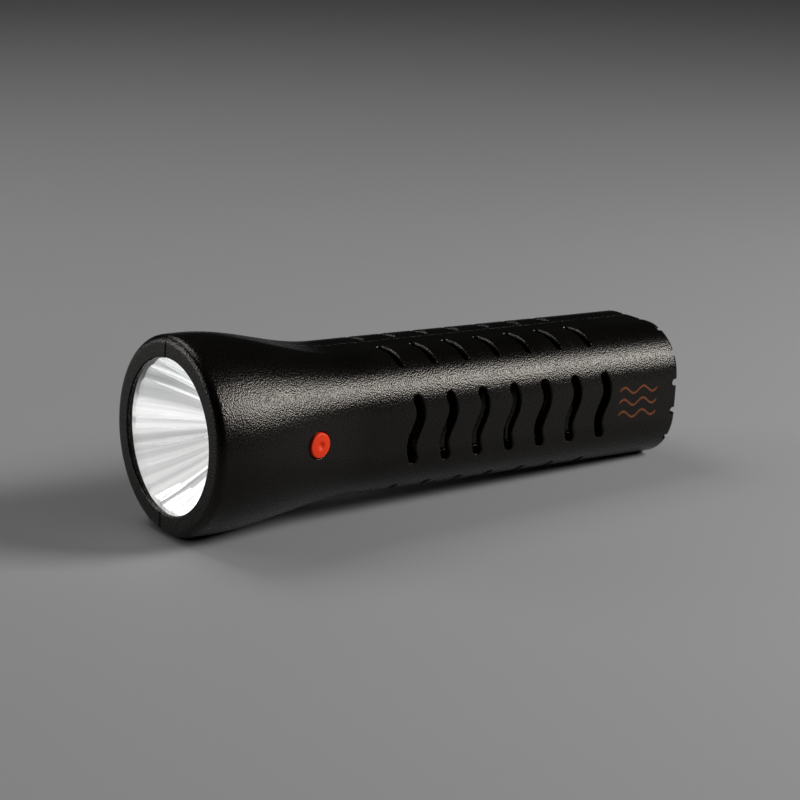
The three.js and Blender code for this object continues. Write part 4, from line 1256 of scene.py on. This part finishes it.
# Contacts: two leaves bent from spring brass on a moulded block across the body, which press on two
# stamped brass terminals at the inner end of the drawer. The block and the body of the switch behind
# the button are of the same grey plastic.


def brass_finish(tree, here):
    tarnish = tree.noise(here, 160, 5)
    rubbed = tarnish.smooth_between(0.5, 0.75)
    colour = tree.mixed(rubbed, (0.62, 0.42, 0.12), (0.36, 0.23, 0.075))
    return {"Base Color": colour, "Metallic": 1.0, "Roughness": 0.22 + 0.22 * tarnish}


grey_tones = ((0.43, 0.45, 0.45), (0.50, 0.52, 0.52))
grey_finish = plain_finish(grey_tones, (70, 3), (2200, 1), (0.48, 0.08), (0.00005,))
contact_brass = material("contact_brass", brass_finish)
dress(contact_brass, "contact_leaf_near", "contact_leaf_far", "cell_terminal_near", "cell_terminal_far")
dress(material("grey_plastic", grey_finish), "contact_block", "switch_body")
dress(black_plastic, "switch_plunger")

# Control board and wires: a green board on two posts with a wound storage coil, a smoothing can and
# a driver chip, joined by two wires to the emitter and by two more to the contact leaves.
TRACE_PITCH = 0.0016


def green_board_finish(tree, here):
    _, _, up = own_place(tree, here)
    bends = tree.noise(here, 120, 0) * 3
    stripes = ((up / TRACE_PITCH + bends) * math.tau).maths("SINE").smooth_between(0.35, 0.5)
    copper = stripes * tree.noise(here, 260, 1).smooth_between(0.52, 0.56)
    return {
        "Base Color": tree.mixed(copper, (0.010, 0.085, 0.028), (0.030, 0.17, 0.055)),
        "Roughness": 0.32 + 0.06 * tree.noise(here, 700, 2),
        "Normal": tree.bump(copper, 0.00005),
    }


def insulation(dark, light):
    return plain_finish((dark, light), (400, 2), (1500, 2), (0.42, 0.1))


ferrite_tones = ((0.018, 0.018, 0.020), (0.034, 0.034, 0.036))
ferrite_finish = plain_finish(ferrite_tones, (1400, 4), (1400, 4), (0.6, 0.2), (0.00006,))
dress(material("green_board", green_board_finish), "control_board")
dress(material("dark_ferrite", ferrite_finish), "storage_coil", "driver_chip")
dress(sink_metal, "smoothing_can")
red_wire = material("red_wire", insulation((0.33, 0.014, 0.010), (0.42, 0.020, 0.014)))
dress(red_wire, "emitter_wire_red", "feed_wire_red")
black_wire = material("black_wire", insulation((0.009, 0.009, 0.009), (0.013, 0.013, 0.013)))
dress(black_wire, "emitter_wire_black", "feed_wire_black")

# Stage: a plain pale table under three softboxes: the key high on the right, one high behind the
# flashlight and a low one behind its head. The camera stands where the photo was taken from, which was
# worked out from the outline of the head, the body and the tail.
LENS = 105.34
SENSOR = 36
VIEW_TURN = math.radians(54.057)
VIEW_PITCH = math.radians(15.736)
VIEW_ROLL = math.radians(-1.06)
HEAD_ASIDE = -0.072425
HEAD_BELOW = 0.011474
HEAD_AWAY = 0.725591
TABLE_RADIUS = 5.0
LIT_PLACE = Vector((0, 0, 0.03))
ROOM_STRENGTH = 0.008


def table_finish(tree, here):
    mottle = tree.noise(here, 3, 4)
    colour = tree.mixed(mottle, (0.265, 0.265, 0.268), (0.288, 0.288, 0.292))
    return {"Base Color": colour, "Roughness": 0.75}


def softbox(name, azimuth, elevation, distance, size, power):
    """A square lamp that faces the flashlight from a direction in degrees."""
    lamp = bpy.data.lights.new(name, "AREA")
    lamp.shape = "SQUARE"
    lamp.size = size
    lamp.energy = power
    made = put_object(name, lamp)
    turn, rise = math.radians(azimuth), math.radians(elevation)
    away = Vector((math.cos(rise) * math.cos(turn), math.cos(rise) * math.sin(turn), math.sin(rise)))
    faced = away.to_track_quat("Z", "Y").to_matrix().to_4x4()
    made.matrix_world = Matrix.Translation(LIT_PLACE + distance * away) @ faced


table_mesh = bpy.data.meshes.new("table")
bm = bmesh.new()
bmesh.ops.create_circle(bm, cap_ends=True, segments=96, radius=TABLE_RADIUS)
bm.to_mesh(table_mesh)
bm.free()
table_mesh.materials.append(material("table", table_finish))
put_object("table", table_mesh)

softbox("key_softbox", -40, 31, 1.2, 0.46, 17.0)
softbox("top_softbox", 104, 54, 1.3, 0.6, 5.0)
softbox("back_softbox", 135, 14, 1.3, 0.6, 5.0)

world = bpy.data.worlds.new("room")
world.use_nodes = True
background = world.node_tree.nodes["Background"].inputs
background["Color"].default_value = (1, 1, 1, 1)
background["Strength"].default_value = ROOM_STRENGTH
bpy.context.scene.world = world

right = Vector((math.sin(VIEW_TURN), -math.cos(VIEW_TURN), 0))
level = Vector((math.cos(VIEW_TURN), math.sin(VIEW_TURN), 0))
ahead = math.cos(VIEW_PITCH) * level - math.sin(VIEW_PITCH) * Vector((0, 0, 1))
down = ahead.cross(right)
rolled = Matrix.Rotation(VIEW_ROLL, 3, ahead)
right, down = rolled @ right, rolled @ down
eye = bezel_centre - HEAD_ASIDE * right - HEAD_BELOW * down - HEAD_AWAY * ahead
lens_data = bpy.data.cameras.new("camera")
lens_data.lens = LENS
lens_data.sensor_width = SENSOR
camera = put_object("camera", lens_data)
camera.matrix_world = Matrix.Translation(eye) @ Matrix((right, -down, -ahead)).transposed().to_4x4()
bpy.context.scene.camera = camera
bpy.context.scene.view_settings.view_transform = "Standard"
